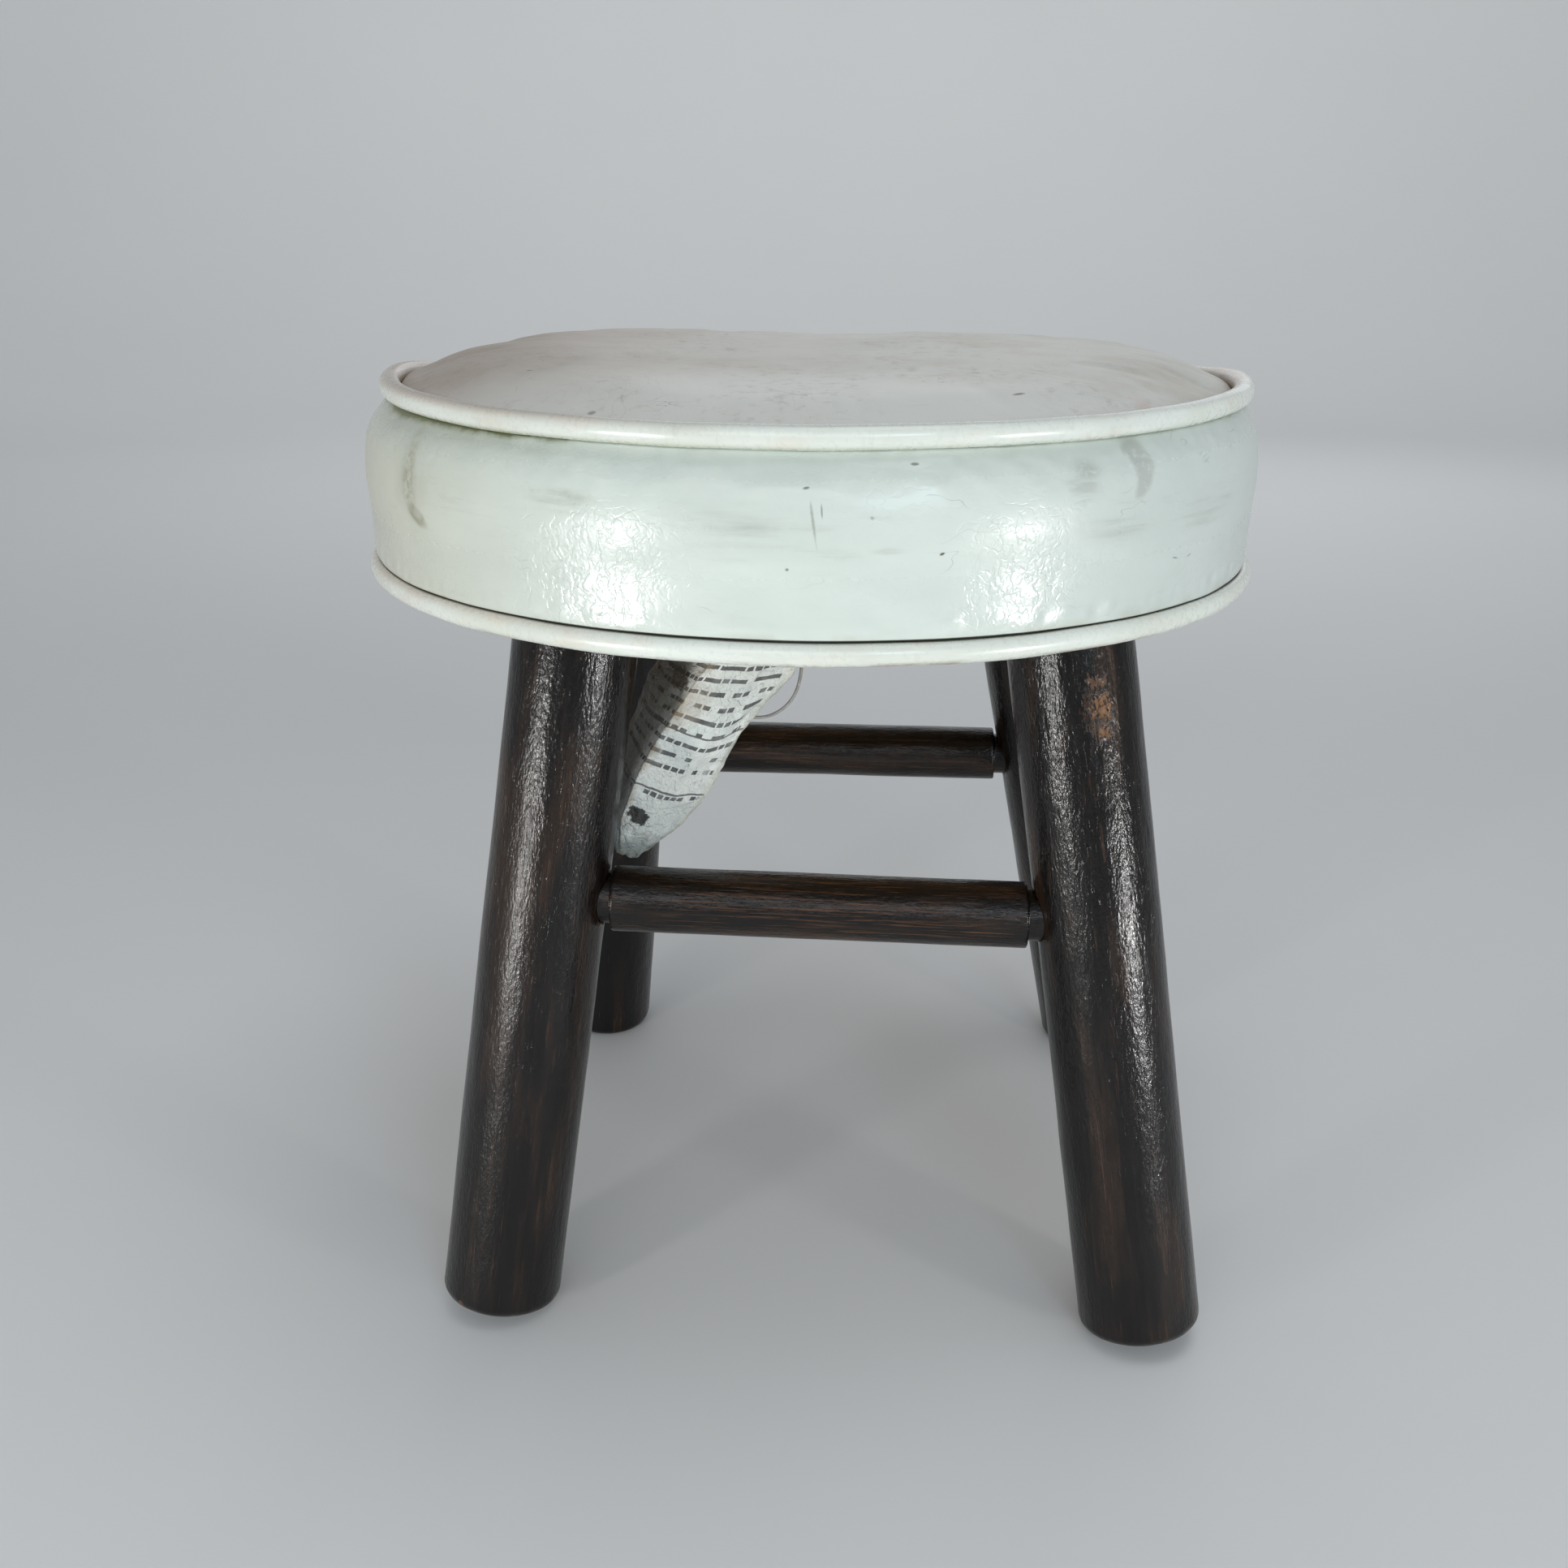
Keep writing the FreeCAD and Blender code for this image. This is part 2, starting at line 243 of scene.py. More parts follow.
def M(op, *args, clamp=False):
    n = G[-1].nodes.new("ShaderNodeMath")
    n.operation, n.use_clamp = op, clamp
    for i, a in enumerate(args):
        _set(n, i, a)
    return V(n.outputs[0])


def mx(a, b):
    return M("MAXIMUM", a, b)


def mn(a, b):
    return M("MINIMUM", a, b)


def sat(a):
    return M("ADD", a, 0.0, clamp=True)


def ab(a):
    return M("ABSOLUTE", a)


def sm(x, lo, hi, a=0.0, b=1.0):
    """Smooth step from a to b as x goes from lo to hi."""
    n = G[-1].nodes.new("ShaderNodeMapRange")
    n.interpolation_type = "SMOOTHSTEP"
    _set(n, 0, x)
    for i, v in zip((1, 2, 3, 4), (lo, hi, a, b)):
        _set(n, i, v)
    return V(n.outputs[0])


def vec(x, y=0.0, z=0.0):
    n = G[-1].nodes.new("ShaderNodeCombineXYZ")
    for i, v in enumerate((x, y, z)):
        _set(n, i, v)
    return V(n.outputs[0])


def vm(op, a, b=None, scale=None):
    n = G[-1].nodes.new("ShaderNodeVectorMath")
    n.operation = op
    _set(n, 0, a)
    if b is not None:
        _set(n, 1, b)
    if scale is not None:
        _set(n, 3, scale)
    return V(n.outputs["Value" if op in ("DOT_PRODUCT", "LENGTH", "DISTANCE") else "Vector"])


def xyz(v):
    n = G[-1].nodes.new("ShaderNodeSeparateXYZ")
    _set(n, 0, v)
    return [V(o) for o in n.outputs]


def pos_mm():
    n = G[-1].nodes.new("ShaderNodeTexCoord")
    return vm("SCALE", V(n.outputs["Object"]), scale=1000.0)


def uv():
    n = G[-1].nodes.new("ShaderNodeTexCoord")
    return V(n.outputs["UV"])


def noise(v, size, detail=2.0, rough=0.5, warp=0.0, seed=0.0):
    """Noise of about that feature size in the vector's units, 0 to 1."""
    n = G[-1].nodes.new("ShaderNodeTexNoise")
    n.noise_dimensions = "3D"
    if isinstance(size, tuple):
        v = vm("DIVIDE", v, size)
        size = 1.0
    if seed:
        v = vm("ADD", v, (seed * 37.1, seed * 11.7, seed * 5.3))
    _set(n, "Vector", v)
    _set(n, "Scale", 1.0 / size)
    _set(n, "Detail", detail)
    _set(n, "Roughness", rough)
    _set(n, "Distortion", warp)
    return V(n.outputs[0])


def noise_col(v, size, detail=1.0):
    n = G[-1].nodes.new("ShaderNodeTexNoise")
    _set(n, "Vector", v)
    _set(n, "Scale", 1.0 / size)
    _set(n, "Detail", detail)
    return V(n.outputs["Color"])


def cells(v, size, feature="F1", rand=1.0):
    n = G[-1].nodes.new("ShaderNodeTexVoronoi")
    n.feature = feature
    if isinstance(size, tuple):
        v = vm("DIVIDE", v, size)
        size = 1.0
    _set(n, "Vector", v)
    _set(n, "Scale", 1.0 / size)
    _set(n, "Randomness", rand)
    return V(n.outputs["Distance"])


def cell_id(v, size):
    n = G[-1].nodes.new("ShaderNodeTexVoronoi")
    _set(n, "Vector", v)
    _set(n, "Scale", 1.0 / size)
    return V(n.outputs["Color"])


def white(v):
    n = G[-1].nodes.new("ShaderNodeTexWhiteNoise")
    n.noise_dimensions = "3D"
    _set(n, "Vector", v)
    return V(n.outputs["Value"])


def mixc(f, a, b):
    n = G[-1].nodes.new("ShaderNodeMix")
    n.data_type = "RGBA"
    n.clamp_factor = True
    _set(n, 0, f)
    _set(n, 6, a)
    _set(n, 7, b)
    return V(n.outputs[2])


def multc(a, b, f=1.0):
    n = G[-1].nodes.new("ShaderNodeMix")
    n.data_type = "RGBA"
    n.blend_type = "MULTIPLY"
    _set(n, 0, f)
    _set(n, 6, a)
    _set(n, 7, b)
    return V(n.outputs[2])


def spot(v, x, y, wx, wy, turn=0.0, lo=1.0, hi=0.3, wob=None):
    """A blot on a flat vector: 1 inside, 0 outside."""
    n = G[-1].nodes.new("ShaderNodeMapping")
    n.vector_type = "TEXTURE"
    _set(n, 0, v)
    n.inputs["Location"].default_value = (x, y, 0)
    n.inputs["Rotation"].default_value = (0, 0, math.radians(turn))
    n.inputs["Scale"].default_value = (wx, wy, 1)
    d = vm("LENGTH", V(n.outputs[0]))
    if wob is not None:
        d = d + wob
    return sm(d, lo, hi)


def bump(height, mm, normal=None, strength=1.0):
    n = G[-1].nodes.new("ShaderNodeBump")
    _set(n, "Strength", strength)
    _set(n, "Distance", mm * MM)
    _set(n, "Height", height)
    if normal is not None:
        _set(n, "Normal", normal)
    return V(n.outputs[0])


class material:
    """with material("name") as m: nodes are added to m, and m.out(...) feeds the Principled shader."""

    def __init__(s, name):
        s.mat = bpy.data.materials.new(name)
        s.mat.use_nodes = True

    def __enter__(s):
        t = s.mat.node_tree
        t.nodes.clear()
        G.append(t)
        s.bsdf = t.nodes.new("ShaderNodeBsdfPrincipled")
        o = t.nodes.new("ShaderNodeOutputMaterial")
        t.links.new(s.bsdf.outputs[0], o.inputs[0])
        return s

    def __exit__(s, *a):
        G.pop()

    def out(s, **k):
        names = dict(color="Base Color", rough="Roughness", metal="Metallic", normal="Normal", ior="IOR",
                     spec="Specular IOR Level", coat="Coat Weight", coat_rough="Coat Roughness",
                     sheen="Sheen Weight", alpha="Alpha", trans="Transmission Weight", sss="Subsurface Weight",
                     coat_normal="Coat Normal", sss_scale="Subsurface Scale")
        for a, v in k.items():
            _set(s.bsdf, names[a], v)


# ------------------------------------------------------------------ materials: vinyl
def vinyl_relief(P, fine=1.0):
    """Height of the vinyl's grain: pebbles under a millimetre and a net of soft creases a few millimetres apart."""
    warp = vm("SCALE", vm("SUBTRACT", noise_col(P, 5.0), (0.5, 0.5, 0.5)), scale=3.0)
    W = vm("ADD", P, warp)
    net = sm(cells(W, 2.6, "DISTANCE_TO_EDGE"), 0.0, 0.22)
    net2 = sm(cells(W, 1.1, "DISTANCE_TO_EDGE"), 0.0, 0.25)
    pebble = noise(P, 0.55, 2.0)
    return net * 0.45 + net2 * (0.3 * fine) + pebble * 0.35


def vinyl_band():
    with material("vinyl_band") as m:
        P = pos_mm()
        x, y, z = xyz(P)
        az = M("ARCTAN2", x, y * -1.0)
        s = az * 152.0 - 3.6
        S = vec(s, z)
        w1 = noise(P, 7.0, 3.0)
        w2 = noise(P, 2.2, 3.0, 0.6)
        wob = (w1 - 0.5) * 0.9 + (w2 - 0.5) * 0.5
        big = noise(P, (60, 60, 22), 3.0)
        # ground colour: a mint white, yellower to the left, whiter low down
        col = mixc(sm(big, 0.35, 0.65), lin(211, 219, 211), lin(218, 226, 218))
        col = mixc(sm(x, -45, -148) * 0.68, col, lin(196, 193, 173))
        col = mixc(sm(x, 55, 150) * 0.5, col, lin(192, 202, 201))
        col = mixc(sm(y, 40, 150) * 0.4, col, lin(200, 202, 188))
        col = mixc(sm(z, 285, 302) * sm(w1, 0.25, 0.75) * 0.5, col, lin(196, 208, 201))
        # long sideways scuffs round the widest part
        streak = noise(vec(s, z * 7.0), (24, 20, 20), 4.0, 0.55)
        streak2 = noise(vec(s, z * 5.0, 40.0), (40, 30, 30), 3.0, 0.6)
        zone = sm(z, 270, 277) * sm(z, 293, 286)
        scuff = sm(streak, 0.52, 0.72) * sm(streak2, 0.42, 0.66) * zone
        pair = spot(S, -20, 284.5, 27, 8.5, -3, 1.1, 0.0, wob * 0.6) + spot(S, 92, 279, 17, 5.5, -6, 1.1, 0.2, wob * 0.5) \
            + spot(S, 136, 281, 20, 7, 4, 1.1, 0.2, wob * 0.6) + spot(S, 22, 278, 6, 1.2, 0, 1.1, 0.2)
        scuff = sat(scuff * 0.32 + pair * sm(streak, 0.30, 0.70) * 0.55)
        col = mixc(scuff * 0.62, col, lin(158, 164, 156))
        # brown-green run at the left, with a rounded lower end
        run = spot(S, -136.5, 289.5, 5.4, 13.5, 8, 1.2, 0.35, wob * 0.8)
        tip = spot(S, -132.0, 277.5, 6.0, 3.0, -24, 1.15, 0.55, wob * 0.4)
        halo = spot(S, -136, 288, 13, 19, 8, 1.2, 0.1, wob)
        rim = sat(tip - spot(S, -133.0, 279.4, 5.4, 3.0, -24, 1.0, 0.6))
        stain = sat(run * sm(w2, 0.28, 0.66) * 0.50 + tip * 0.34 + rim * 0.26 + halo * 0.18)
        col = mixc(stain, col, lin(138, 136, 112))
        # grey smudge patch and a crescent at the upper right
        patch = spot(S, 81, 296, 6.5, 3.6, -8, 1.15, 0.2, wob) * sm(w2, 0.30, 0.52) * 0.46
        patch2 = spot(S, 79, 292, 8, 5, -18, 1.15, 0.2, wob) * sm(streak, 0.42, 0.6) * 0.35
        cres = sat(spot(S, 99.5, 295, 7.2, 8.4, -14, 1.05, 0.75, wob * 0.35) - spot(S, 92.6, 292.6, 6.8, 8.6, -14, 1.05, 0.75, wob * 0.3))
        cres = cres * sm(w2, 0.22, 0.52) * 0.42
        col = mixc(sat(patch + patch2 + cres), col, lin(150, 150, 141))
        # scratches and nicks
        scr = spot(S, 1.6, 286, 0.5, 7.0, 8, 1.1, 0.3, (w2 - 0.5) * 1.6) * 0.42 + spot(S, 3.9, 288.6, 0.3, 2.2, 4, 1.1, 0.4) * 0.6
        scr = scr + spot(S, 119.3, 267.8, 1.7, 0.28, -12, 1.1, 0.4) * 0.6 + spot(S, 127, 267.5, 1.3, 0.28, 22, 1.1, 0.4) * 0.5
        scr = scr + spot(S, 36.2, 276.9, 0.9, 0.45, 20, 1.1, 0.4) + spot(S, -0.2, 294.4, 1.1, 0.4, 10, 1.1, 0.4) * 0.8
        scr = scr + spot(S, 29.4, 299.7, 1.4, 0.4, 0, 1.1, 0.4) * 0.8 + spot(S, -5.2, 273.3, 0.6, 0.5, 0, 1.1, 0.4) * 0.7
        ci = cell_id(P, 24.0)
        speck = sm(cells(P, 24.0) + (w2 - 0.5) * 0.03, 0.026, 0.012) * sm(xyz(ci)[0], 0.45, 0.5)
        hair = sm(ab(noise(vm("ADD", P, vm("SCALE", noise_col(P, 9.0), scale=7.0)), (30, 30, 6), 1.0) - 0.5), 0.0032, 0.0008)
        hair = hair * sm(noise(P, 18.0, 1.0, seed=3), 0.56, 0.68)
        scr = sat(scr + speck * 0.38 + hair * 0.30)
        col = mixc(scr, col, lin(98, 98, 84))
        # grime under the top welt, heaviest at the left front, with a painted shade line in the gap right under the
        # welt; grime along the lower seam, and painted shade in its crease
        gl = sm(s, -66, -82) * sm(s, -190, -160)
        deep = z + x * 0.003 + (w1 - 0.5) * 2.0 + (w2 - 0.5) * 1.1
        # painted shade: the term from 302.6 to 304.6 mm is a thin dark line all round, right under the welt
        grime_and_gap_shade = sm(deep, 301.4, 303.6) * gl * 0.8 + sm(deep, 295, 303) * gl * 0.18 + sm(deep, 302.6, 304.6) * 0.55
        grime_and_gap_shade = grime_and_gap_shade + sm(deep, 299.5, 303.6) * sm(noise(P, 22.0, 2.0, seed=1), 0.52, 0.68) * 0.22
        smud = spot(S, -70, 288.5, 14, 4.0, -2, 1.15, 0.2, wob * 1.4) * sm(streak, 0.36, 0.62) * 0.30
        col = mixc(sat(grime_and_gap_shade + smud), col, lin(112, 117, 84))
        zr = z + x * 0.008 + y * 0.005
        # painted shade: a near-black line in the crease of the lower seam
        low = sm(zr, 253.60, 253.25) * 0.97
        low2 = sm(deep, 257.0, 253.6) * sm(noise(vec(s, z * 0.5), 14.0, 3.0, seed=2), 0.47, 0.66) * 0.2
        col = mixc(low2, col, lin(158, 150, 118))
        col = mixc(low, col, lin(38, 36, 22))
        # rear closing seam: painted shade in its groove
        rear = sm(ab(x), 1.4, 0.5) * sm(y, 0, 10)
        col = mixc(rear * 0.8, col, lin(120, 120, 98))
        dirt = sat(scuff + stain + grime_and_gap_shade)
        relief = vinyl_relief(P)
        crease_zone = noise(P, (28, 28, 20), 2.0, seed=4)
        W = vm("ADD", P, vm("SCALE", noise_col(P, 6.0), scale=5.0))
        crease = sm(ab(noise(W, (7.0, 7.0, 4.2), 2.0, 0.55) - 0.5), 0.0, 0.055)
        crease = crease * sm(crease_zone, 0.36, 0.56) + (1.0 - sm(crease_zone, 0.36, 0.56))
        # pulled crackle where the cover has been pinched: left of the middle, and a smaller patch to the right
        Wk = vm("ADD", P, vm("SCALE", noise_col(P, 3.2), scale=3.4))
        crack = sm(cells(vm("MULTIPLY", Wk, (1.0, 1.0, 1.4)), 4.6, "DISTANCE_TO_EDGE"), 0.0, 0.13)
        crack2 = sm(ab(noise(Wk, (4.2, 4.2, 7.5), 2.0, 0.5) - 0.5), 0.0, 0.09)
        pinch = sat(spot(S, -62, 268, 31, 25, 20, 1.15, 0.45, wob) + spot(S, 60, 269, 19, 20, -10, 1.15, 0.4, wob) * 0.85)
        crackle = (crack * 0.2 + crack2) * pinch + 1.2 * (1.0 - pinch)
        n = bump(relief, 0.009)
        n = bump(crease, 0.03, n)
        n = bump(crackle, 0.07, n)
        n = bump(noise(P, 9.0, 2.0), 0.13, n)
        n = bump(1.0 - scr, 0.12, n)
        worn = sm(z, 268, 275) * sm(z, 299, 292)
        m.out(color=col, rough=sat(0.24 + worn * 0.10 + dirt * 0.2 + (w2 - 0.5) * 0.08 + (big - 0.5) * 0.08), normal=n, ior=1.5,
              coat=sat(0.42 - worn * 0.24 - dirt * 0.2), coat_rough=0.07, coat_normal=n)
    return m.mat


def vinyl_top():
    with material("vinyl_top") as m:
        P = pos_mm()
        x, y, z = xyz(P)
        r = M("SQRT", x * x + y * y)
        w1 = noise(P, 9.0, 3.0)
        w2 = noise(P, 2.4, 3.0, 0.6)
        big = noise(P, 55.0, 3.0)
        col = mixc(sm(big, 0.35, 0.65), lin(203, 201, 191), lin(214, 212, 203))
        tan = noise(P, 34.0, 4.0, 0.6, seed=2)
        col = mixc(sm(tan, 0.46, 0.70) * 0.5, col, lin(190, 177, 157))
        # painted shade over the left of the crown, in a warm tan tone
        col = mixc(sm(x + (big - 0.5) * 60.0, 40, -120) * 0.75, col, lin(180, 162, 147))
        # painted light: the front of the crown made lighter
        col = mixc(sm(y, -50, -120) * 0.75, col, lin(242, 242, 235))
        # painted shade: the back of the crown made darker
        col = mixc(sm(y, 10, 110) * 0.35, col, lin(184, 184, 178))
        wear = sm(noise(P, 4.5, 4.0, 0.65, seed=5), 0.50, 0.74) * sm(noise(P, 40.0, 2.0, seed=6), 0.42, 0.62)
        col = mixc(wear * 0.3, col, lin(154, 142, 126))
        # faint crossed scratches from use, a few dark marks, a pink blot at the right
        W = vm("ADD", P, vm("SCALE", noise_col(P, 12.0), scale=9.0))
        hair = sm(ab(noise(W, (42, 5, 10), 1.0) - 0.5), 0.004, 0.001) * sm(noise(P, 26.0, 1.0, seed=3), 0.54, 0.66)
        hair2 = sm(ab(noise(W, (6, 38, 10), 1.0, seed=7) - 0.5), 0.004, 0.001) * sm(noise(P, 26.0, 1.0, seed=8), 0.57, 0.68)
        Q = vec(x - 3.4, y)
        marks = spot(Q, 57.6, -103.5, 2.6, 0.8, 35, 1.1, 0.4) * 0.8 + spot(Q, 83, -116, 1.6, 0.9, -50, 1.1, 0.4) * 0.7
        marks = marks + spot(Q, -60, -118, 1.5, 1.2, 0, 1.1, 0.4) * 0.6 + spot(Q, -86, -72, 1.4, 1.0, 0, 1.1, 0.4) * 0.6
        speck = sm(cells(P, 27.0), 0.045, 0.018) * sm(xyz(cell_id(P, 27.0))[0], 0.3, 0.36)
        scr = sat(hair * 0.4 + hair2 * 0.3 + marks + speck * 0.8)
        col = mixc(scr, col, lin(112, 104, 90))
        col = mixc(spot(Q, 96, -92, 4.5, 9, 30, 1.2, 0.1) * 0.35, col, lin(216, 176, 166))
        # grime and painted shade in the groove beside the welt
        edge = r + (w1 - 0.5) * 5.0 + (w2 - 0.5) * 2.0
        groove_grime_and_shade = sm(edge, 131, 140) * 0.5 + sm(edge, 136.6, 139.4) * 0.3
        col = mixc(groove_grime_and_shade * 0.8, col, lin(158, 142, 124))
        pits = sm(cells(P, 31.0), 0.11, 0.05) * sm(r, 133, 138) * sm(xyz(cell_id(P, 31.0))[1], 0.45, 0.5)
        dark = spot(Q, -134.5, 11, 2.2, 6, 4, 1.2, 0.2, w2 - 0.5) * 0.8 + spot(Q, 135, 6, 1.8, 5, -3, 1.2, 0.2, w2 - 0.5) * 0.8 + spot(Q, -96, -98, 5, 1.5, -45, 1.2, 0.3, w2 - 0.5)
        col = mixc(sat(pits * 0.7 + dark * 0.7), col, lin(96, 84, 64))
        relief = vinyl_relief(P)
        crease = sm(ab(noise(W, (9, 9, 9), 2.0, 0.55) - 0.5), 0.0, 0.04)
        cz = sm(noise(P, 30.0, 1.0, seed=4), 0.50, 0.66)
        crease = crease * cz + (1.0 - cz)
        n = bump(relief, 0.028)
        n = bump(crease, 0.05, n)
        n = bump(noise(P, 11.0, 2.0), 0.25, n)
        n = bump(1.0 - scr, 0.10, n)
        m.out(color=col, rough=sat(0.40 + groove_grime_and_shade * 0.2 + wear * 0.15 + (w2 - 0.5) * 0.12), normal=n, ior=1.5,
              coat=sm(r, 128, 139) * 0.2, coat_rough=0.2, coat_normal=n)
    return m.mat


def vinyl_welt(name, ring, height, low):
    with material(name) as m:
        P = pos_mm()
        x, y, z = xyz(P)
        ox, oy = (-0.1, -0.2) if low else (1.25, 0.55)
        r = M("SQRT", (x - ox) * (x - ox) + (y - oy) * (y - oy))
        s = M("ARCTAN2", x, y * -1.0) * ring
        w1 = noise(P, 8.0, 3.0)
        w2 = noise(P, 2.0, 3.0, 0.6)
        col = mixc(sm(noise(P, 40.0, 3.0), 0.35, 0.65), lin(222, 226, 215), lin(229, 234, 226))
        tint = noise(P, (18, 18, 5), 3.0, seed=1)
        col = mixc(sm(tint, 0.52, 0.74) * 0.32, col, lin(226, 210, 192))
        up = z - height + (x * 0.008 + y * 0.005 + 0.1 if low else x * 0.005 - y * 0.018 - 0.5)
        out = r - ring + (0.6 if low else 0.1)
        if low:
            col = mixc(sm(up, 1.2, 3.2) * sm(x, -20, -120) * 0.45, col, lin(224, 200, 178))
            # painted shade: a dark line in the crease where the band meets the welt
            crease = sm(up, 2.6, 3.3) * sm(out, 1.2, 0.2)
            col = mixc(crease * 0.8, col, lin(92, 84, 60))
            under = sm(up, -1.2, -3.0) * sm(noise(vec(s, z), (20, 6, 1), 4.0, 0.6), 0.46, 0.62)
            col = mixc(under * 0.55, col, lin(128, 98, 66))
        else:
            # painted shade: the welt's inner, upward-facing side darkened to taupe
            inner = sm(out + (w1 - 0.5) * 1.6, 1.2, -2.0)
            col = mixc(inner * 0.8, col, lin(182, 163, 145))
            # painted shade, in a warm tan tone, on the top of the welt at the left
            col = mixc(sm(up, 0.2, 3.0) * sm(x, 10, -120) * 0.75, col, lin(192, 174, 157))
            # painted shade under the welt
            col = mixc(sm(up, -1.5, -3.4) * 0.5, col, lin(150, 154, 122))
        nick = sm(cells(P, 21.0) + (w2 - 0.5) * 0.04, 0.032, 0.016) * sm(xyz(cell_id(P, 21.0))[0], 0.35, 0.4)
        cross = sm(noise(vec(s, z * 0.12, r * 0.12), 1.3, 2.0, 0.6), 0.60, 0.70) * sm(noise(P, 20.0, 1.0, seed=6), 0.5, 0.62)
        col = mixc(sat(nick * 0.7 + cross * 0.08), col, lin(128, 112, 88))
        rub = sm(noise(vec(s, z * 3.0, r * 3.0), (11, 11, 11), 3.0, 0.6), 0.56, 0.72)
        col = mixc(rub * 0.12, col, lin(190, 186, 170))
        n = bump(vinyl_relief(P, 0.7), 0.003)
        n = bump(noise(vec(s, z * 0.4, r * 0.4), 9.0, 1.0), 0.06, n)
        m.out(color=col, rough=sat(0.28 + rub * 0.15 + (w2 - 0.5) * 0.12), normal=n, ior=1.5,
              coat=0.3, coat_rough=0.10, coat_normal=n)
    return m.mat


def vinyl_hem():
    with material("vinyl_hem") as m:
        P = pos_mm()
        x, y, z = xyz(P)
        r = M("SQRT", x * x + y * y)
        w1 = noise(P, 6.0, 4.0, 0.6)
        col = mixc(sm(noise(P, 30.0, 3.0), 0.35, 0.65), lin(205, 203, 187), lin(190, 186, 166))
        col = mixc(sm(w1, 0.5, 0.72) * 0.5, col, lin(140, 126, 98))
        # the fabric backing shows as a browner raw edge
        raw = sm(r + (w1 - 0.5) * 2.0, 128.2, 126.4)
        col = mixc(raw * 0.75, col, lin(128, 112, 86))
        weave = M("SINE", x * 9.0) * M("SINE", y * 9.0)
        n = bump(vinyl_relief(P), 0.06)
        n = bump(weave * raw, 0.05, n)
        m.out(color=col, rough=sat(0.48 + raw * 0.35 + (w1 - 0.5) * 0.2), normal=n, ior=1.5)
    return m.mat


# ------------------------------------------------------------------ materials: wood
def axis_coords(P, a, e1, e2, u):
    d = vm("SUBTRACT", P, tuple(a))
    return [vm("DOT_PRODUCT", d, tuple(k)) for k in (e1, e2, u)]


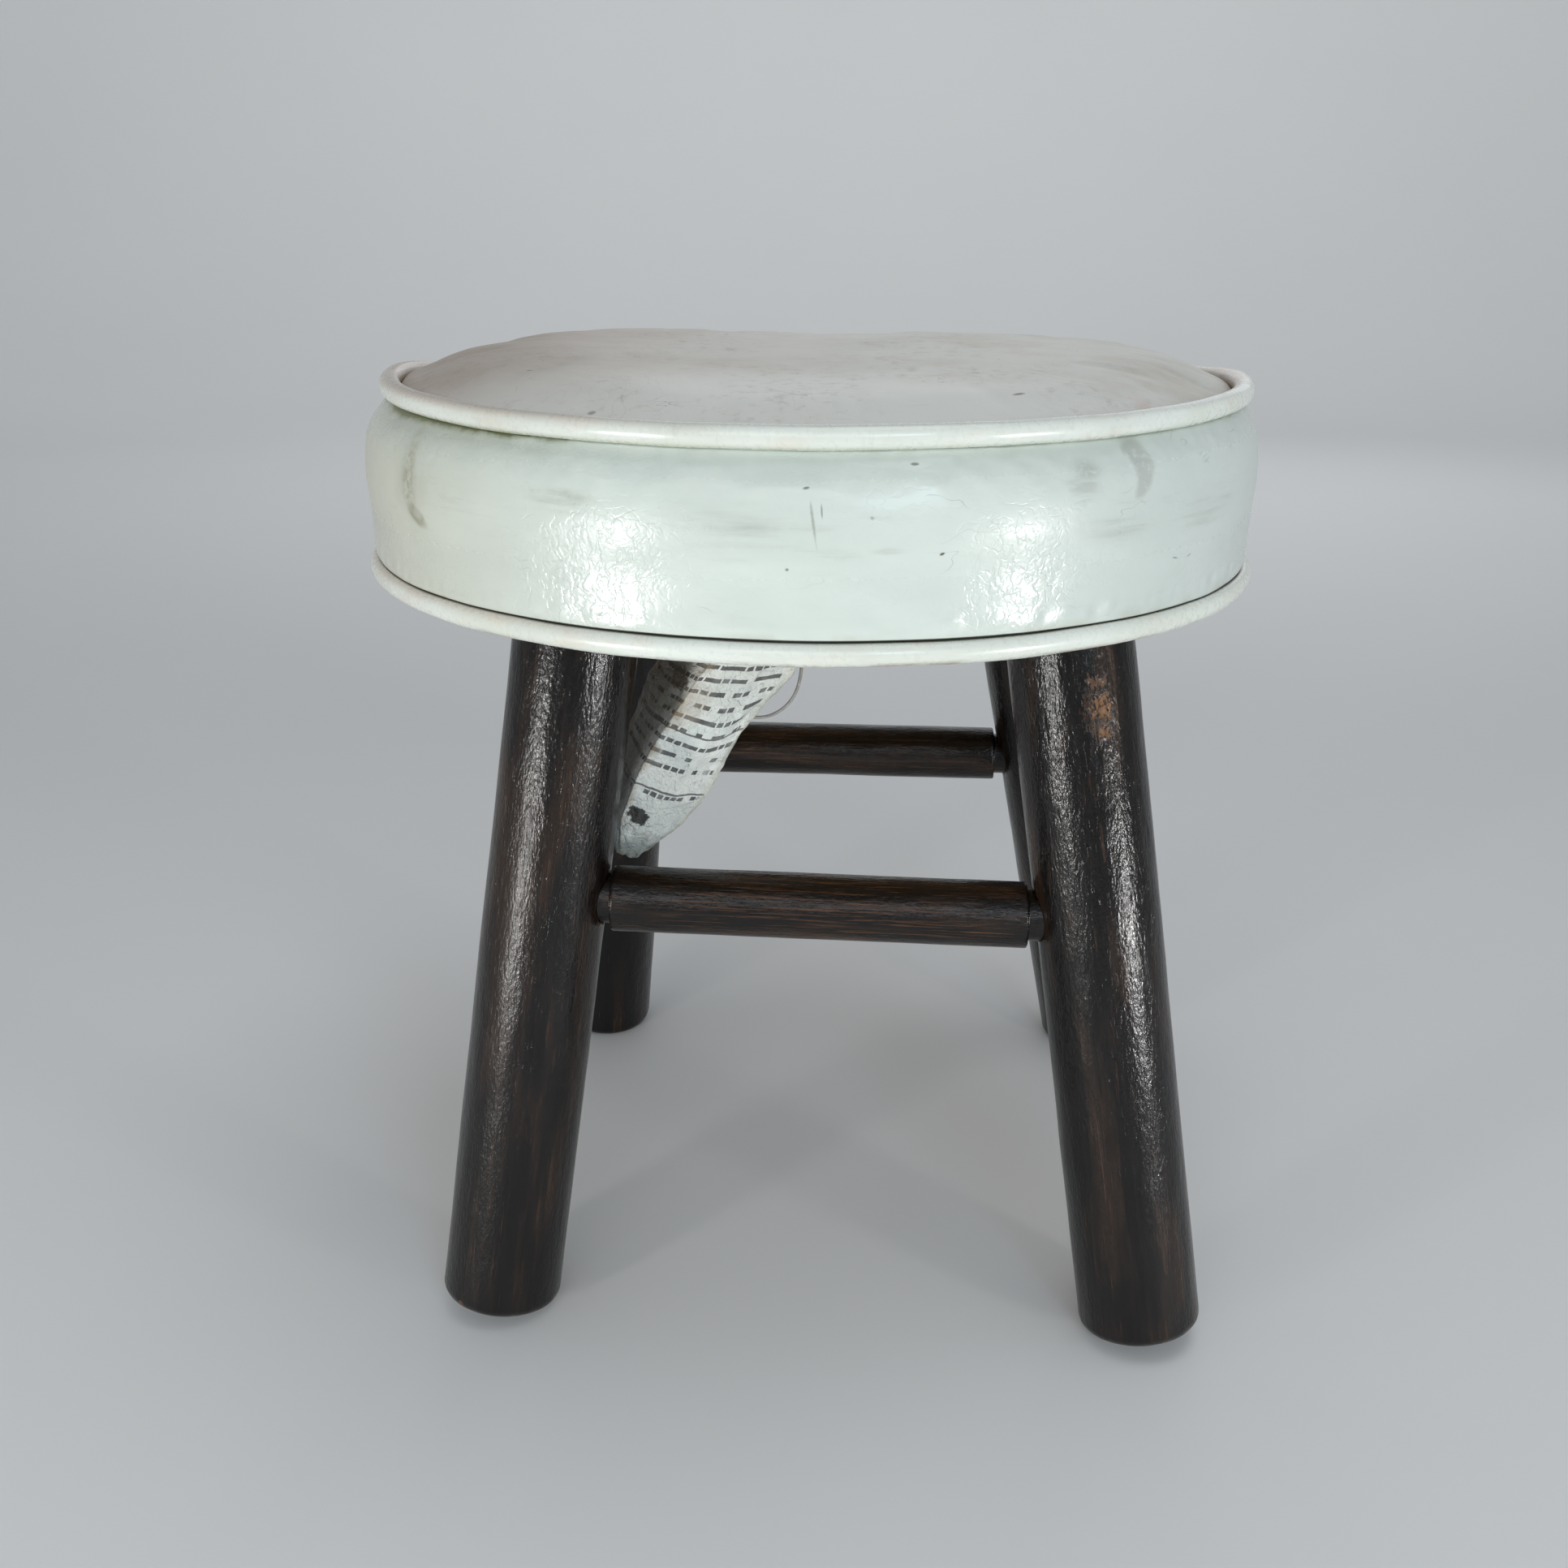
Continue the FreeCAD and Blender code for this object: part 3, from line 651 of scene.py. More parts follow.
def dark_wood(name, a, e1, e2, u, radius, marks=(), worn=0.0, length=250.0, seed=0.0, chips=True, matt_sheen_patch=None):
    """Near-black brown stain under a worn satin lacquer, grain along the axis. marks are (angle, along, half width, half length, strength)."""
    with material(name) as m:
        P = pos_mm()
        lx, ly, lz = axis_coords(P, a, e1, e2, u)
        L = vec(lx, ly, lz)
        ang = M("ARCTAN2", lx, ly) * radius
        grain = noise(L, (1.1, 1.1, 26.0), 4.0, 0.62, seed=seed + 1)
        fine = noise(L, (0.38, 0.38, 9.0), 3.0, 0.6, seed=seed + 2)
        broad = noise(L, (9, 9, 55), 3.0, 0.55, seed=seed + 3)
        blot = noise(L, (7, 7, 16), 4.0, 0.6, seed=seed + 4)
        col = mixc(sm(grain, 0.36, 0.66), lin(8, 6, 6), lin(19, 15, 13))
        col = mixc(sm(broad, 0.46, 0.70) * 0.7, col, lin(46, 34, 26))
        # brown worn-through streaks along the grain
        str1 = sm(grain, 0.52, 0.66) * sm(broad, 0.50, 0.66)
        str2 = sm(noise(L, (0.6, 0.6, 36.0), 3.0, 0.6, seed=seed + 5), 0.60, 0.68) * sm(blot, 0.44, 0.62)
        wear = sat(str1 * 0.30 + str2 * (0.35 + worn))
        if worn:
            mid = sm(ab(lz - length * 0.5), length * 0.42, length * 0.12)
            wear = sat(wear + mid * sm(noise(L, (0.7, 0.7, 26.0), 4.0, 0.6, seed=seed + 6), 0.52, 0.63) * worn)
        col = mixc(wear * 0.72, col, lin(104, 68, 40))
        A = vec(ang, lz)
        wob = (noise(L, (1.7, 1.7, 2.3), 4.0, 0.7, seed=seed + 7) - 0.5) * 3.2
        bare = 0.0
        for an, al, wa, wl, k in marks:
            bare = spot(A, math.radians(an) * radius, al, wa, wl, 0, 1.05, 0.55, wob) * k + bare
        if marks:
            torn = noise(L, (0.75, 0.75, 1.7), 3.0, 0.65, seed=seed + 11)
            bare = sat(bare) * sm(torn, 0.40, 0.52)
            col = mixc(bare * 0.9, col, lin(128, 90, 56))
        if chips:
            c1 = sm(cells(L, (9, 9, 12)), 0.16, 0.08) * sm(lz, 26, 4) * sm(blot, 0.52, 0.6)
            col = mixc(sat(c1 * 0.7 + sm(lz, 5.0, 1.5) * sm(blot, 0.46, 0.6) * 0.5), col, lin(112, 78, 50))
        pores = sm(noise(L, (0.5, 0.5, 6.0), 2.0, 0.5, seed=seed + 8), 0.62, 0.72)
        col = mixc(pores * 0.6, col, lin(12, 10, 9))
        # pebbled lacquer: short ripples a millimetre or two apart, a little longer along the grain
        peel = noise(L, (0.92, 0.92, 2.3), 2.0, 0.62, seed=seed + 9)
        lumps = noise(L, (5, 5, 22), 2.0, 0.5, seed=seed + 10)
        n = bump(peel * sm(blot, 0.25, 0.7, 0.6, 1.0), 0.25)
        n = bump(grain, 0.06, n)
        n = bump(1.0 - pores, 0.05, n)
        n = bump(lumps, 0.35, n)
        if marks:
            n = bump(1.0 - bare, 0.10, n)
        matt_and_painted_sheen = 0.0
        if matt_sheen_patch:
            # a side where the lacquer is rougher and matt, with a painted brown sheen in its colour
            matt_and_painted_sheen = spot(A, math.radians(matt_sheen_patch[0]) * radius, matt_sheen_patch[1], matt_sheen_patch[2], matt_sheen_patch[3], 0, 1.3, 0.1)
            col = mixc(matt_and_painted_sheen * grain * 0.45, col, lin(84, 60, 44))
        m.out(color=col, rough=sat(0.215 + matt_and_painted_sheen * 0.11 + wear * 0.2 + (fine - 0.5) * 0.2 + (blot - 0.5) * 0.16), normal=n, ior=1.5, spec=0.42)
    return m.mat


def pale_wood(name, a, e1, e2, u, c1, c2, seed=0.0):
    with material(name) as m:
        P = pos_mm()
        lx, ly, lz = axis_coords(P, a, e1, e2, u)
        L = vec(lx, ly, lz)
        grain = noise(L, (0.8, 0.8, 18.0), 4.0, 0.6, seed=seed + 1)
        ring = M("SINE", M("SQRT", lx * lx + (ly + 30) * (ly + 30)) * 2.2 + noise(L, (20, 20, 60), 2.0, seed=seed) * 9.0)
        col = mixc(sm(grain, 0.35, 0.65), lin(*c1), lin(*c2))
        col = mixc(sm(ring, 0.2, 1.0) * 0.35, col, tuple(0.72 * k for k in lin(*c1)[:3]) + (1.0,))
        n = bump(grain, 0.10)
        m.out(color=col, rough=sat(0.62 + (grain - 0.5) * 0.3), normal=n)
    return m.mat


def board_wood():
    with material("board_wood") as m:
        P = pos_mm()
        x, y, z = xyz(P)
        W = vec(x, y + (noise(P, 70.0, 2.0) - 0.5) * 40.0, z)
        wx, wy, wz = xyz(W)
        ring = M("SINE", M("SQRT", wy * wy + (wz - 130.0) * (wz - 130.0) * 0.2) * 1.3)
        grain = noise(vec(x, wy, z), (34, 0.9, 4), 4.0, 0.62)
        col = mixc(sm(grain, 0.34, 0.66), lin(176, 141, 98), lin(202, 170, 126))
        col = mixc(sm(ring, 0.1, 1.0) * 0.4, col, lin(150, 112, 72))
        age = noise(P, 26.0, 4.0, 0.6)
        col = mixc(sm(age, 0.5, 0.72) * 0.5, col, lin(118, 92, 66))
        joint = sm(ab(M("FRACT", (y + 236.0) / 94.0) - 0.5), 0.4925, 0.4975)
        col = mixc(joint * 0.8, col, lin(70, 50, 34))
        # stain that ran off the leg tops when they were finished
        r = 0.0
        for cx, cy in ((-70.6, -63.5), (82.4, -62.0), (-73.6, 67.0), (77.9, 60.5)):
            d = vm("LENGTH", vec(x - cx, y - cy))
            r = sm(d + (noise(P, 8.0, 3.0, seed=2) - 0.5) * 7.0, 26, 21) + r
        col = mixc(sat(r) * 0.8, col, lin(52, 38, 28))
        n = bump(grain, 0.12)
        n = bump(1.0 - joint, 0.25, n)
        m.out(color=col, rough=sat(0.66 + (grain - 0.5) * 0.3), normal=n)
    return m.mat


def end_wood():
    """The wedges' own wood, grain up the wedge."""
    with material("wedge_wood") as m:
        P = pos_mm()
        g = noise(P, (0.6, 0.6, 9.0), 4.0, 0.6)
        col = mixc(sm(g, 0.35, 0.65), lin(170, 134, 92), lin(205, 172, 126))
        m.out(color=col, rough=sat(0.6 + (g - 0.5) * 0.3), normal=bump(g, 0.08))
    return m.mat


# ------------------------------------------------------------------ materials: the rest
def foam_mat():
    with material("foam") as m:
        P = pos_mm()
        c = cells(P, 1.3)
        col = mixc(sm(noise(P, 30.0, 3.0), 0.35, 0.65), lin(222, 196, 128), lin(206, 172, 98))
        col = mixc(sm(c, 0.35, 0.05) * 0.6, col, lin(150, 112, 58))
        m.out(color=col, rough=sat(0.88 + (c - 0.4) * 0.1), normal=bump(c, 0.4))
    return m.mat


def cord_mat():
    with material("welt_cord") as m:
        P = pos_mm()
        g = noise(P, (0.5, 0.5, 0.5), 3.0, 0.6)
        col = mixc(sm(g, 0.35, 0.65), lin(212, 202, 178), lin(232, 226, 206))
        m.out(color=col, rough=sat(0.85 + (g - 0.5) * 0.2), normal=bump(g, 0.12))
    return m.mat


def steel_mat():
    with material("staple_steel") as m:
        P = pos_mm()
        g = noise(P, 2.0, 4.0, 0.6)
        rust = sm(noise(P, 3.5, 4.0, 0.65, seed=1), 0.52, 0.68)
        col = mixc(sm(g, 0.35, 0.65), lin(150, 150, 150), lin(178, 178, 176))
        col = mixc(rust * 0.75, col, lin(104, 62, 36))
        m.out(color=col, metal=sat(1.0 - rust * 0.8), rough=sat(0.36 + rust * 0.4 + (g - 0.5) * 0.2), normal=bump(g + rust, 0.04))
    return m.mat


def label_mat(back=False):
    """A pale non-woven slip: ruled lines, rows of plain bars for print, marker blots, and painted brown shade down the
    fold and over the left half.
    """
    with material("label_back" if back else "label_front") as m:
        u, v, _ = xyz(uv())
        P = pos_mm()
        U, Vv = u * 52.0, v * 101.5
        Q = vec(U, Vv)
        fib = noise(P, 0.7, 4.0, 0.65)
        cr = noise(P, 3.0, 3.0, 0.6)
        col = mixc(sm(noise(P, 14.0, 3.0), 0.35, 0.65), lin(232, 236, 231), lin(218, 225, 221))
        # painted shade: greyer on one side of the small crumple creases that the bump draws
        col = mixc(sm(cr, 0.55, 0.75) * 0.35, col, lin(176, 180, 174))
        # rows of print: bars of uneven length on a regular row pitch
        pitch = 4.1
        row = M("FLOOR", Vv / pitch)
        fr = M("FRACT", Vv / pitch)
        wig = (noise(P, 0.9, 2.0) - 0.5) * 0.06
        inrow = sm(fr + wig, 0.32, 0.36) * sm(fr + wig, 0.68, 0.64)
        wlen = 2.4
        cellx = M("FLOOR", U / wlen + white(vec(row, 3.0)) * 7.0)
        fx = M("FRACT", U / wlen + white(vec(row, 3.0)) * 7.0)
        on = sm(white(vec(cellx, row, 1.0)), 0.14, 0.16)
        gaps = 1.0 - sm(fx + wig, 0.26, 0.20) * sm(white(vec(cellx, row, 5.0)), 0.38, 0.40)
        worn = sm(noise(P, 6.0, 2.0, 0.5), 0.15, 0.55) * 0.35 + 0.65
        area = sm(Vv, 3, 4) * sm(Vv, 84, 82) * sm(U, 2.4, 3.2) * sm(U, 49.8, 49.0)
        gap_rows = sm(white(vec(row, 9.0)), 0.14, 0.16)
        ink = inrow * on * gaps * worn * area * gap_rows * (0.26 if back else 0.86)
        lines = 0.0
        for at in (12.9, 24.6, 60.0, 78.6):
            lines = sm(ab(Vv - at + (cr - 0.5) * 0.5), 0.34, 0.22) + lines
        ink = mx(ink, sat(lines) * sm(U, 1.0, 1.6) * sm(U, 51.0, 50.4) * (0.2 if back else 0.8))
        for at in (12.9, 24.6, 60.0, 78.6):
            pass
        col = mixc(ink, col, lin(34, 34, 38))
        wob = (noise(P, 1.6, 4.0, 0.7) - 0.5) * 1.9
        blot = sat(spot(Q, 35, 28.5, 4.6, 2.6, 12, 1.05, 0.8, wob) + spot(Q, 32, 87.5, 5.2, 2.6, 8, 1.05, 0.8, wob)
                   + spot(Q, 17, 45, 5.0, 3.0, 30, 1.05, 0.8, wob) * 0.8)
        if not back:
            col = mixc(blot * 0.93, col, lin(20, 19, 20))
        # painted shade: a brown band down the fold
        fold = sm(ab(U - 26.0), 3.4, 0.2) * sm(noise(P, 6.0, 3.0, seed=2), 0.40, 0.62)
        col = mixc(fold * 0.5, col, lin(150, 128, 96))
        ring = spot(Q, 27, 52, 7, 9, 0, 1.1, 0.5, wob * 0.4)
        col = mixc(ring * 0.35, col, lin(158, 142, 116))
        yel = sm(u, 0.10, 0.0) + sm(u, 0.93, 1.0) + sm(v, 0.94, 1.0)
        col = mixc(sat(yel) * 0.4, col, lin(172, 166, 140))
        # painted shade: the left half, behind the fold, darkened to brown
        col = mixc(sm(U + (cr - 0.5) * 9.0, 27, 15) * sm(Vv, 10, 26) * 0.80, col, lin(84, 74, 60))
        kink = sm(ab(noise(P, 5.5, 2.0, 0.5, seed=4) - 0.5), 0.0, 0.06)
        n = bump(fib, 0.05)
        n = bump(sm(ab(cr - 0.5), 0.0, 0.08), 0.16, n)
        n = bump(kink, 0.22, n)
        m.out(color=col, rough=sat(0.62 + (fib - 0.5) * 0.3), normal=n, spec=0.35, sheen=0.1)
    return m.mat


def tie_mat():
    with material("tie_plastic") as m:
        P = pos_mm()
        g = noise(P, 3.0, 3.0, 0.6)
        col = mixc(sm(g, 0.35, 0.65), lin(206, 206, 198), lin(226, 226, 222))
        m.out(color=col, rough=sat(0.24 + (g - 0.5) * 0.25), normal=bump(g, 0.05), trans=0.55, ior=1.5)
    return m.mat


def floor_mat():
    with material("floor") as m:
        n = G[-1].nodes.new("ShaderNodeTexCoord")
        P = V(n.outputs["Object"])
        g = noise(P, 0.35, 3.0)
        col = mixc(g, (0.80, 0.805, 0.80, 1), (0.83, 0.835, 0.83, 1))
        # the wall's upper edge fades away, so it leaves no line in the gloss of the cushion
        m.out(color=col, rough=0.62, spec=0.3, alpha=sm(xyz(P)[2], 1.34, 0.92))
    return m.mat


# ------------------------------------------------------------------ cushion: target shape
WELT_R = 3.3
TOP_WELT = (142.7, 308.4)
BOTTOM_WELT = (149.1, 249.6)
# how far the sewn cover sits off its drawn place: sideways, forward, radius, height, and lean along x and y
SIT = {11: (1.25, 0.55, -0.1, 0.5, -0.005, 0.018), 31: (-0.1, -0.2, -0.6, -0.1, -0.008, -0.005)}
BAND = [(142.9, 305.2), (144.0, 303.2), (146.2, 299.9), (148.5, 295.0), (150.1, 288.6), (150.65, 282.5), (150.4, 277.0),
        (149.75, 271.6), (149.4, 267.0), (149.5, 262.4), (149.75, 258.4), (149.9, 255.6), (149.9, 253.9), (149.3, 252.9)]


def rim_wave(az, seed, size, amp):
    p = np.stack([np.sin(az) * 100, -np.cos(az) * 100, np.zeros_like(az)], -1)
    return fbm(p, size, seed, 2) * amp


def leaning(seed, sx, cy, radius):
    """How much the ring of a welt leans: sx and cy are the place on the unit circle. Its far side comes down again."""
    _, _, _, _, tx, ty = SIT[seed]
    if seed != 11:
        return radius * (sx * tx + cy * ty)
    ease = 1 - 1.3 * np.clip(cy, 0, 1) ** 2
    q = np.hypot(sx, cy)
    sag = sstep(cy, -0.10, 0.46) * (5.4 - 1.1 * np.clip(sx, -1, 1)) * sstep(q, 0.80, 0.99)
    return radius * (sx * tx + cy * ty * ease) - sag


def welt_centre(az, ring, height, seed):
    """The line of a welt: a slightly uneven ring."""
    cx, cy, dr, dz, tx, ty = SIT[seed]
    r = ring + dr + cx * np.sin(az) - cy * np.cos(az) + rim_wave(az, seed, 55, 0.45) + rim_wave(az, seed + 3, 16, 0.2)
    z = height + dz + leaning(seed, np.sin(az), -np.cos(az), 145) + rim_wave(az, seed + 1, 60, 0.55) + rim_wave(az, seed + 4, 18, 0.22)
    return r, z


def band_point(az, t, ease=0.0):
    """The side of the cushion: az round, t from 0 at the top seam to 1 at the bottom seam. ease draws it in, in mm."""
    prof = spline2(BAND, 241)
    pad = np.pad(prof[:, 0], 8, mode="reflect", reflect_type="odd")
    prof[:, 0] = np.convolve(pad, np.hanning(19)[1:-1] / np.hanning(19)[1:-1].sum(), "valid")
    k = np.clip(t, 0, 1) * 240
    r = np.interp(k, np.arange(241), prof[:, 0])
    z = np.interp(k, np.arange(241), prof[:, 1])
    rt, zt = welt_centre(az, 0, 0, 11)
    rb, zb = welt_centre(az, 0, 0, 31)
    top, bot = sstep(t, 0.35, 0.0), sstep(t, 0.75, 1.0)
    r = r + rt * top + rb * bot
    z = z + zt * top * 0.9 + zb * bot * 0.9
    bulge = np.exp(-(((z - 283) / 9.5) ** 2))
    # the left is fuller with a sharper step at the board's edge, the right runs down straighter
    left = sstep(-np.sin(az), 0.2, 0.95)
    right = sstep(np.sin(az), 0.05, 0.5)
    r = r + left * 0.6 * bulge + left * 0.9 * np.exp(-(((z - 265) / 6.5) ** 2)) - (1 - left) * 0.2 * bulge
    r = r + left * 1.2 * np.exp(-(((z - 297) / 5.5) ** 2))
    r = r + right * 0.4 * np.exp(-(((z - 269) / 5.5) ** 2))
    return r - ease * np.clip(np.sin(np.pi * np.clip(t, 0, 1)), 0, 1), z


def crown_height(x, y):
    """Full shoulders at the sides, softer at the front, long and easy at the rear, highest behind the middle on the left."""
    cx, cy, _, dz, tx, ty = SIT[11]
    u, v = (x - cx) / 139.3, (y - cy) / 139.3
    q = np.hypot(u, v)
    az = np.arctan2(u, -v)
    w = 0.5 + 0.5 * np.sin(az)
    power = 9.5 * (1 - w) + 7.4 * w
    power = power * np.where(v > 0, 1 - 0.62 * np.cos(az) ** 2, 1 - 0.42 * np.cos(az) ** 2)
    k = 1 - np.clip(q, 0, 1) ** 4
    qq = np.clip(np.hypot(u - 0.02 * k, v + 0.025 * k), 0, 1.03)
    h = 11.0 * (1 - qq**power)
    p = np.stack([x, y, np.zeros_like(x)], -1)
    h = h + fbm(p, 70, 3, 2) * 0.9 * sstep(q, 0.99, 0.64) + fbm(p, 22, 8, 2) * 0.25 * sstep(q, 1.0, 0.9)
    return TOP_WELT[1] + dz - 1.75 + leaning(11, u, v, 142) + h


def simulate_cover():
    """Cloth run of the whole cover: the closed drum starts a little small, is pinned at its two seams and over the
    board, and swells under pressure. Returns the start and swollen vertex positions and the faces."""
    nt, rows = 220, []
    az = np.linspace(0, 2 * np.pi, nt, endpoint=False)
    tops = np.linspace(0.02, 0.985, 26)
    for q in tops:
        x, y = 139.3 * q * np.sin(az), -139.3 * q * np.cos(az)
        rows.append(np.stack([x, y, crown_height(x, y) - 1.2], -1))
    rt, zt = welt_centre(az, 140.2, 306.2, 11)
    rows.append(np.stack([rt * np.sin(az), -rt * np.cos(az), zt], -1))
    for t in np.linspace(0.03, 0.97, 16):
        r, z = band_point(az, np.full(nt, t), 1.6)
        rows.append(np.stack([r * np.sin(az), -r * np.cos(az), z], -1))
    for q in (0.985, 0.8, 0.5, 0.2, 0.02):
        rows.append(np.stack([147.6 * q * np.sin(az), -147.6 * q * np.cos(az), np.full(nt, 253.4)], -1))
    P = np.array(rows)
    v = P.reshape(-1, 3)
    nr = len(rows)
    f = faces_of(nr, nt, True).tolist()
    v = np.vstack([v, P[0].mean(0), P[-1].mean(0)])
    c0, c1 = nr * nt, nr * nt + 1
    f += [[c0, (j + 1) % nt, j] for j in range(nt)]
    f += [[c1, (nr - 1) * nt + j, (nr - 1) * nt + (j + 1) % nt] for j in range(nt)]
    ob = make_mesh("cover_sim", v, f)
    outward(ob)
    rm = ob.modifiers.new("r", "REMESH")
    rm.mode, rm.voxel_size = "VOXEL", 0.0046
    apply_all(ob)
    start = coords(ob)
    r, z = np.hypot(start[:, 0], start[:, 1]), start[:, 2]
    a = np.arctan2(start[:, 0], -start[:, 1])
    g = ob.vertex_groups.new(name="pin")
    # pins: the seam line, stronger where the gathers are caught, and everything that lies on the board
    catch = 0.5 + 0.5 * np.clip(rim_wave(a, 41, 9, 2.2), -1, 1)
    rt, zt = welt_centre(a, 141.0, 305.6, 11)
    seam = np.exp(-(((r - rt) / 3.0) ** 2 + ((z - zt) / 2.6) ** 2)) * (0.35 + 0.65 * catch)
    board = np.clip(sstep(z, 272, 268) * (0.86 + 0.12 * catch) + (z < 256), 0, 1)
    w = np.clip(np.maximum(seam * 1.3, board), 0, 1)
    lv = np.round(w * 20) / 20
    for k in np.unique(lv):
        g.add([int(i) for i in np.nonzero(lv == k)[0]], float(k), "REPLACE")
    md = ob.modifiers.new("cloth", "CLOTH")
    st = md.settings
    st.quality, st.mass = 6, 0.35
    st.tension_stiffness = st.compression_stiffness = 28
    st.shear_stiffness, st.bending_stiffness = 12, 1.2
    st.use_pressure, st.uniform_pressure_force = True, 4.0
    st.vertex_group_mass = "pin"
    st.effector_weights.gravity = 0
    md.collision_settings.use_self_collision = False
    md.point_cache.frame_start, md.point_cache.frame_end = 1, 20
    SC.frame_start, SC.frame_end = 1, 20
    for k in range(1, 21):
        SC.frame_set(k)
    apply_all(ob)
    SC.frame_set(1)
    end = coords(ob)
    move = end - start
    d = np.linalg.norm(move, axis=1, keepdims=True)
    end = start + move * np.minimum(1, 5.0 / np.maximum(d, 1e-9))
    polys = [tuple(p.vertices) for p in ob.data.polygons]
    bpy.data.objects.remove(ob)
    return start, end, polys


def swell_fields():
    """What the cloth run adds to the drawn shape: how far the side stands out by angle and height, and the top by x and y."""
    nt, nz = 320, 30
    azs = np.linspace(0, 2 * np.pi, nt, endpoint=False)
    ts = np.linspace(0, 1, nz)
    nr = 40
    rs = np.linspace(0, 1, nr)
    start, end, polys = simulate_cover()
    tree = BVHTree.FromPolygons((end * MM).tolist(), polys)
    side = np.zeros((nz, nt))
    for i, t in enumerate(ts):
        r, z = band_point(azs, np.full(nt, t))
        for j, a in enumerate(azs):
            o = Vector((np.sin(a) * 0.2, -np.cos(a) * 0.2, z[j] * MM))
            hit = tree.ray_cast(o, Vector((-np.sin(a), np.cos(a), 0)))
            side[i, j] = (math.hypot(hit[0].x, hit[0].y) / MM - r[j]) if hit[0] else 0.0
    top = np.zeros((nr, nt))
    for i, q in enumerate(rs):
        for j, a in enumerate(azs):
            x, y = 138.6 * q * np.sin(a), -138.6 * q * np.cos(a)
            hit = tree.ray_cast(Vector((x * MM, y * MM, 0.4)), Vector((0, 0, -1)))
            top[i, j] = (hit[0].z / MM - crown_height(np.array(x), np.array(y))) if hit[0] else 0.0
    # the mean swell of each ring is taken out, so the drawn section stays, and what varies round the ring is kept
    side = side - side.mean(1, keepdims=True)
    top = top - top.mean(1, keepdims=True)
    print("swell side", np.abs(side).max(), side.std(), "top", np.abs(top).max(), top.std())
    return np.clip(side * 1.6, -1.4, 1.4) * sstep(ts, 0, 0.12)[:, None] * sstep(ts, 1, 0.85)[:, None], \
        np.clip(top * 1.6, -1.4, 1.4) * sstep(rs, 0.0, 0.15)[:, None] * sstep(rs, 1, 0.93)[:, None]


def sample(field, i, j):
    """Bilinear reading of a field whose columns go round."""
    n, m = field.shape
    i = np.clip(i, 0, n - 1.001)
    i0 = np.floor(i).astype(int)
    j0 = np.floor(j).astype(int)
    fi, fj = i - i0, j - j0
    a = field[i0, j0 % m] * (1 - fj) + field[i0, (j0 + 1) % m] * fj
    b = field[i0 + 1, j0 % m] * (1 - fj) + field[i0 + 1, (j0 + 1) % m] * fj
    return a * (1 - fi) + b * fi


FIELDS = swell_fields()


def pucker(az, reach, seed):
    """Small gathers running away from a seam. reach is the distance from the seam in mm."""
    a = rim_wave(az, seed, 7.5, 1.0) * np.exp(-reach / 5.0) + rim_wave(az, seed + 2, 15, 1.0) * np.exp(-reach / 10.0)
    return a


def make_band():
    nt, nr = 660, 56
    az = np.linspace(-np.pi, np.pi, nt, endpoint=False)
    t = np.linspace(0, 1, nr)
    A, T = np.meshgrid(az, t)
    r, z = band_point(A.ravel(), T.ravel())
    r, z = r.reshape(A.shape), z.reshape(A.shape)
    if FIELDS is not None:
        r = r + sample(FIELDS[0], T * (FIELDS[0].shape[0] - 1), (A % (2 * np.pi)) / (2 * np.pi) * FIELDS[0].shape[1])
    d_top, d_bot = T * 53.0, (1 - T) * 53.0
    r = r + pucker(A, d_top, 61) * 0.30 + pucker(A, d_bot, 67) * 0.14
    P = np.stack([r * np.sin(A), -r * np.cos(A), z], -1)
    env = sstep(T, 0, 0.08) * sstep(T, 1, 0.93)
    r = r + env * (fbm(P, (52, 52, 34), 71, 2) * 0.45 + fbm(P, (15, 15, 9), 73, 2) * 0.10)
    # fine pulled creases round the fullest part
    crease = 1 - np.abs(fbm(P + 4 * fbm(P, 11, 77, 2)[..., None], (9, 9, 5), 79, 2)) * 5
    r = r - env * np.clip(crease, 0, 1) ** 3 * 0.05
    # the closing seam at the rear: two folded edges that meet in a shallow groove
    back = np.abs(np.abs(A) - np.pi) * 150
    r = r - 0.75 * np.exp(-((back / 1.1) ** 2)) + 0.45 * np.exp(-(((back - 3.4) / 2.2) ** 2))
    P = np.stack([r * np.sin(A), -r * np.cos(A), z], -1)
    ob = make_mesh("side_band", P.reshape(-1, 3), faces_of(nr, nt, True, flip=True))
    so = ob.modifiers.new("s", "SOLIDIFY")
    so.thickness, so.offset = 0.9 * MM, -1
    apply_all(ob)
    outward(ob)
    return ob


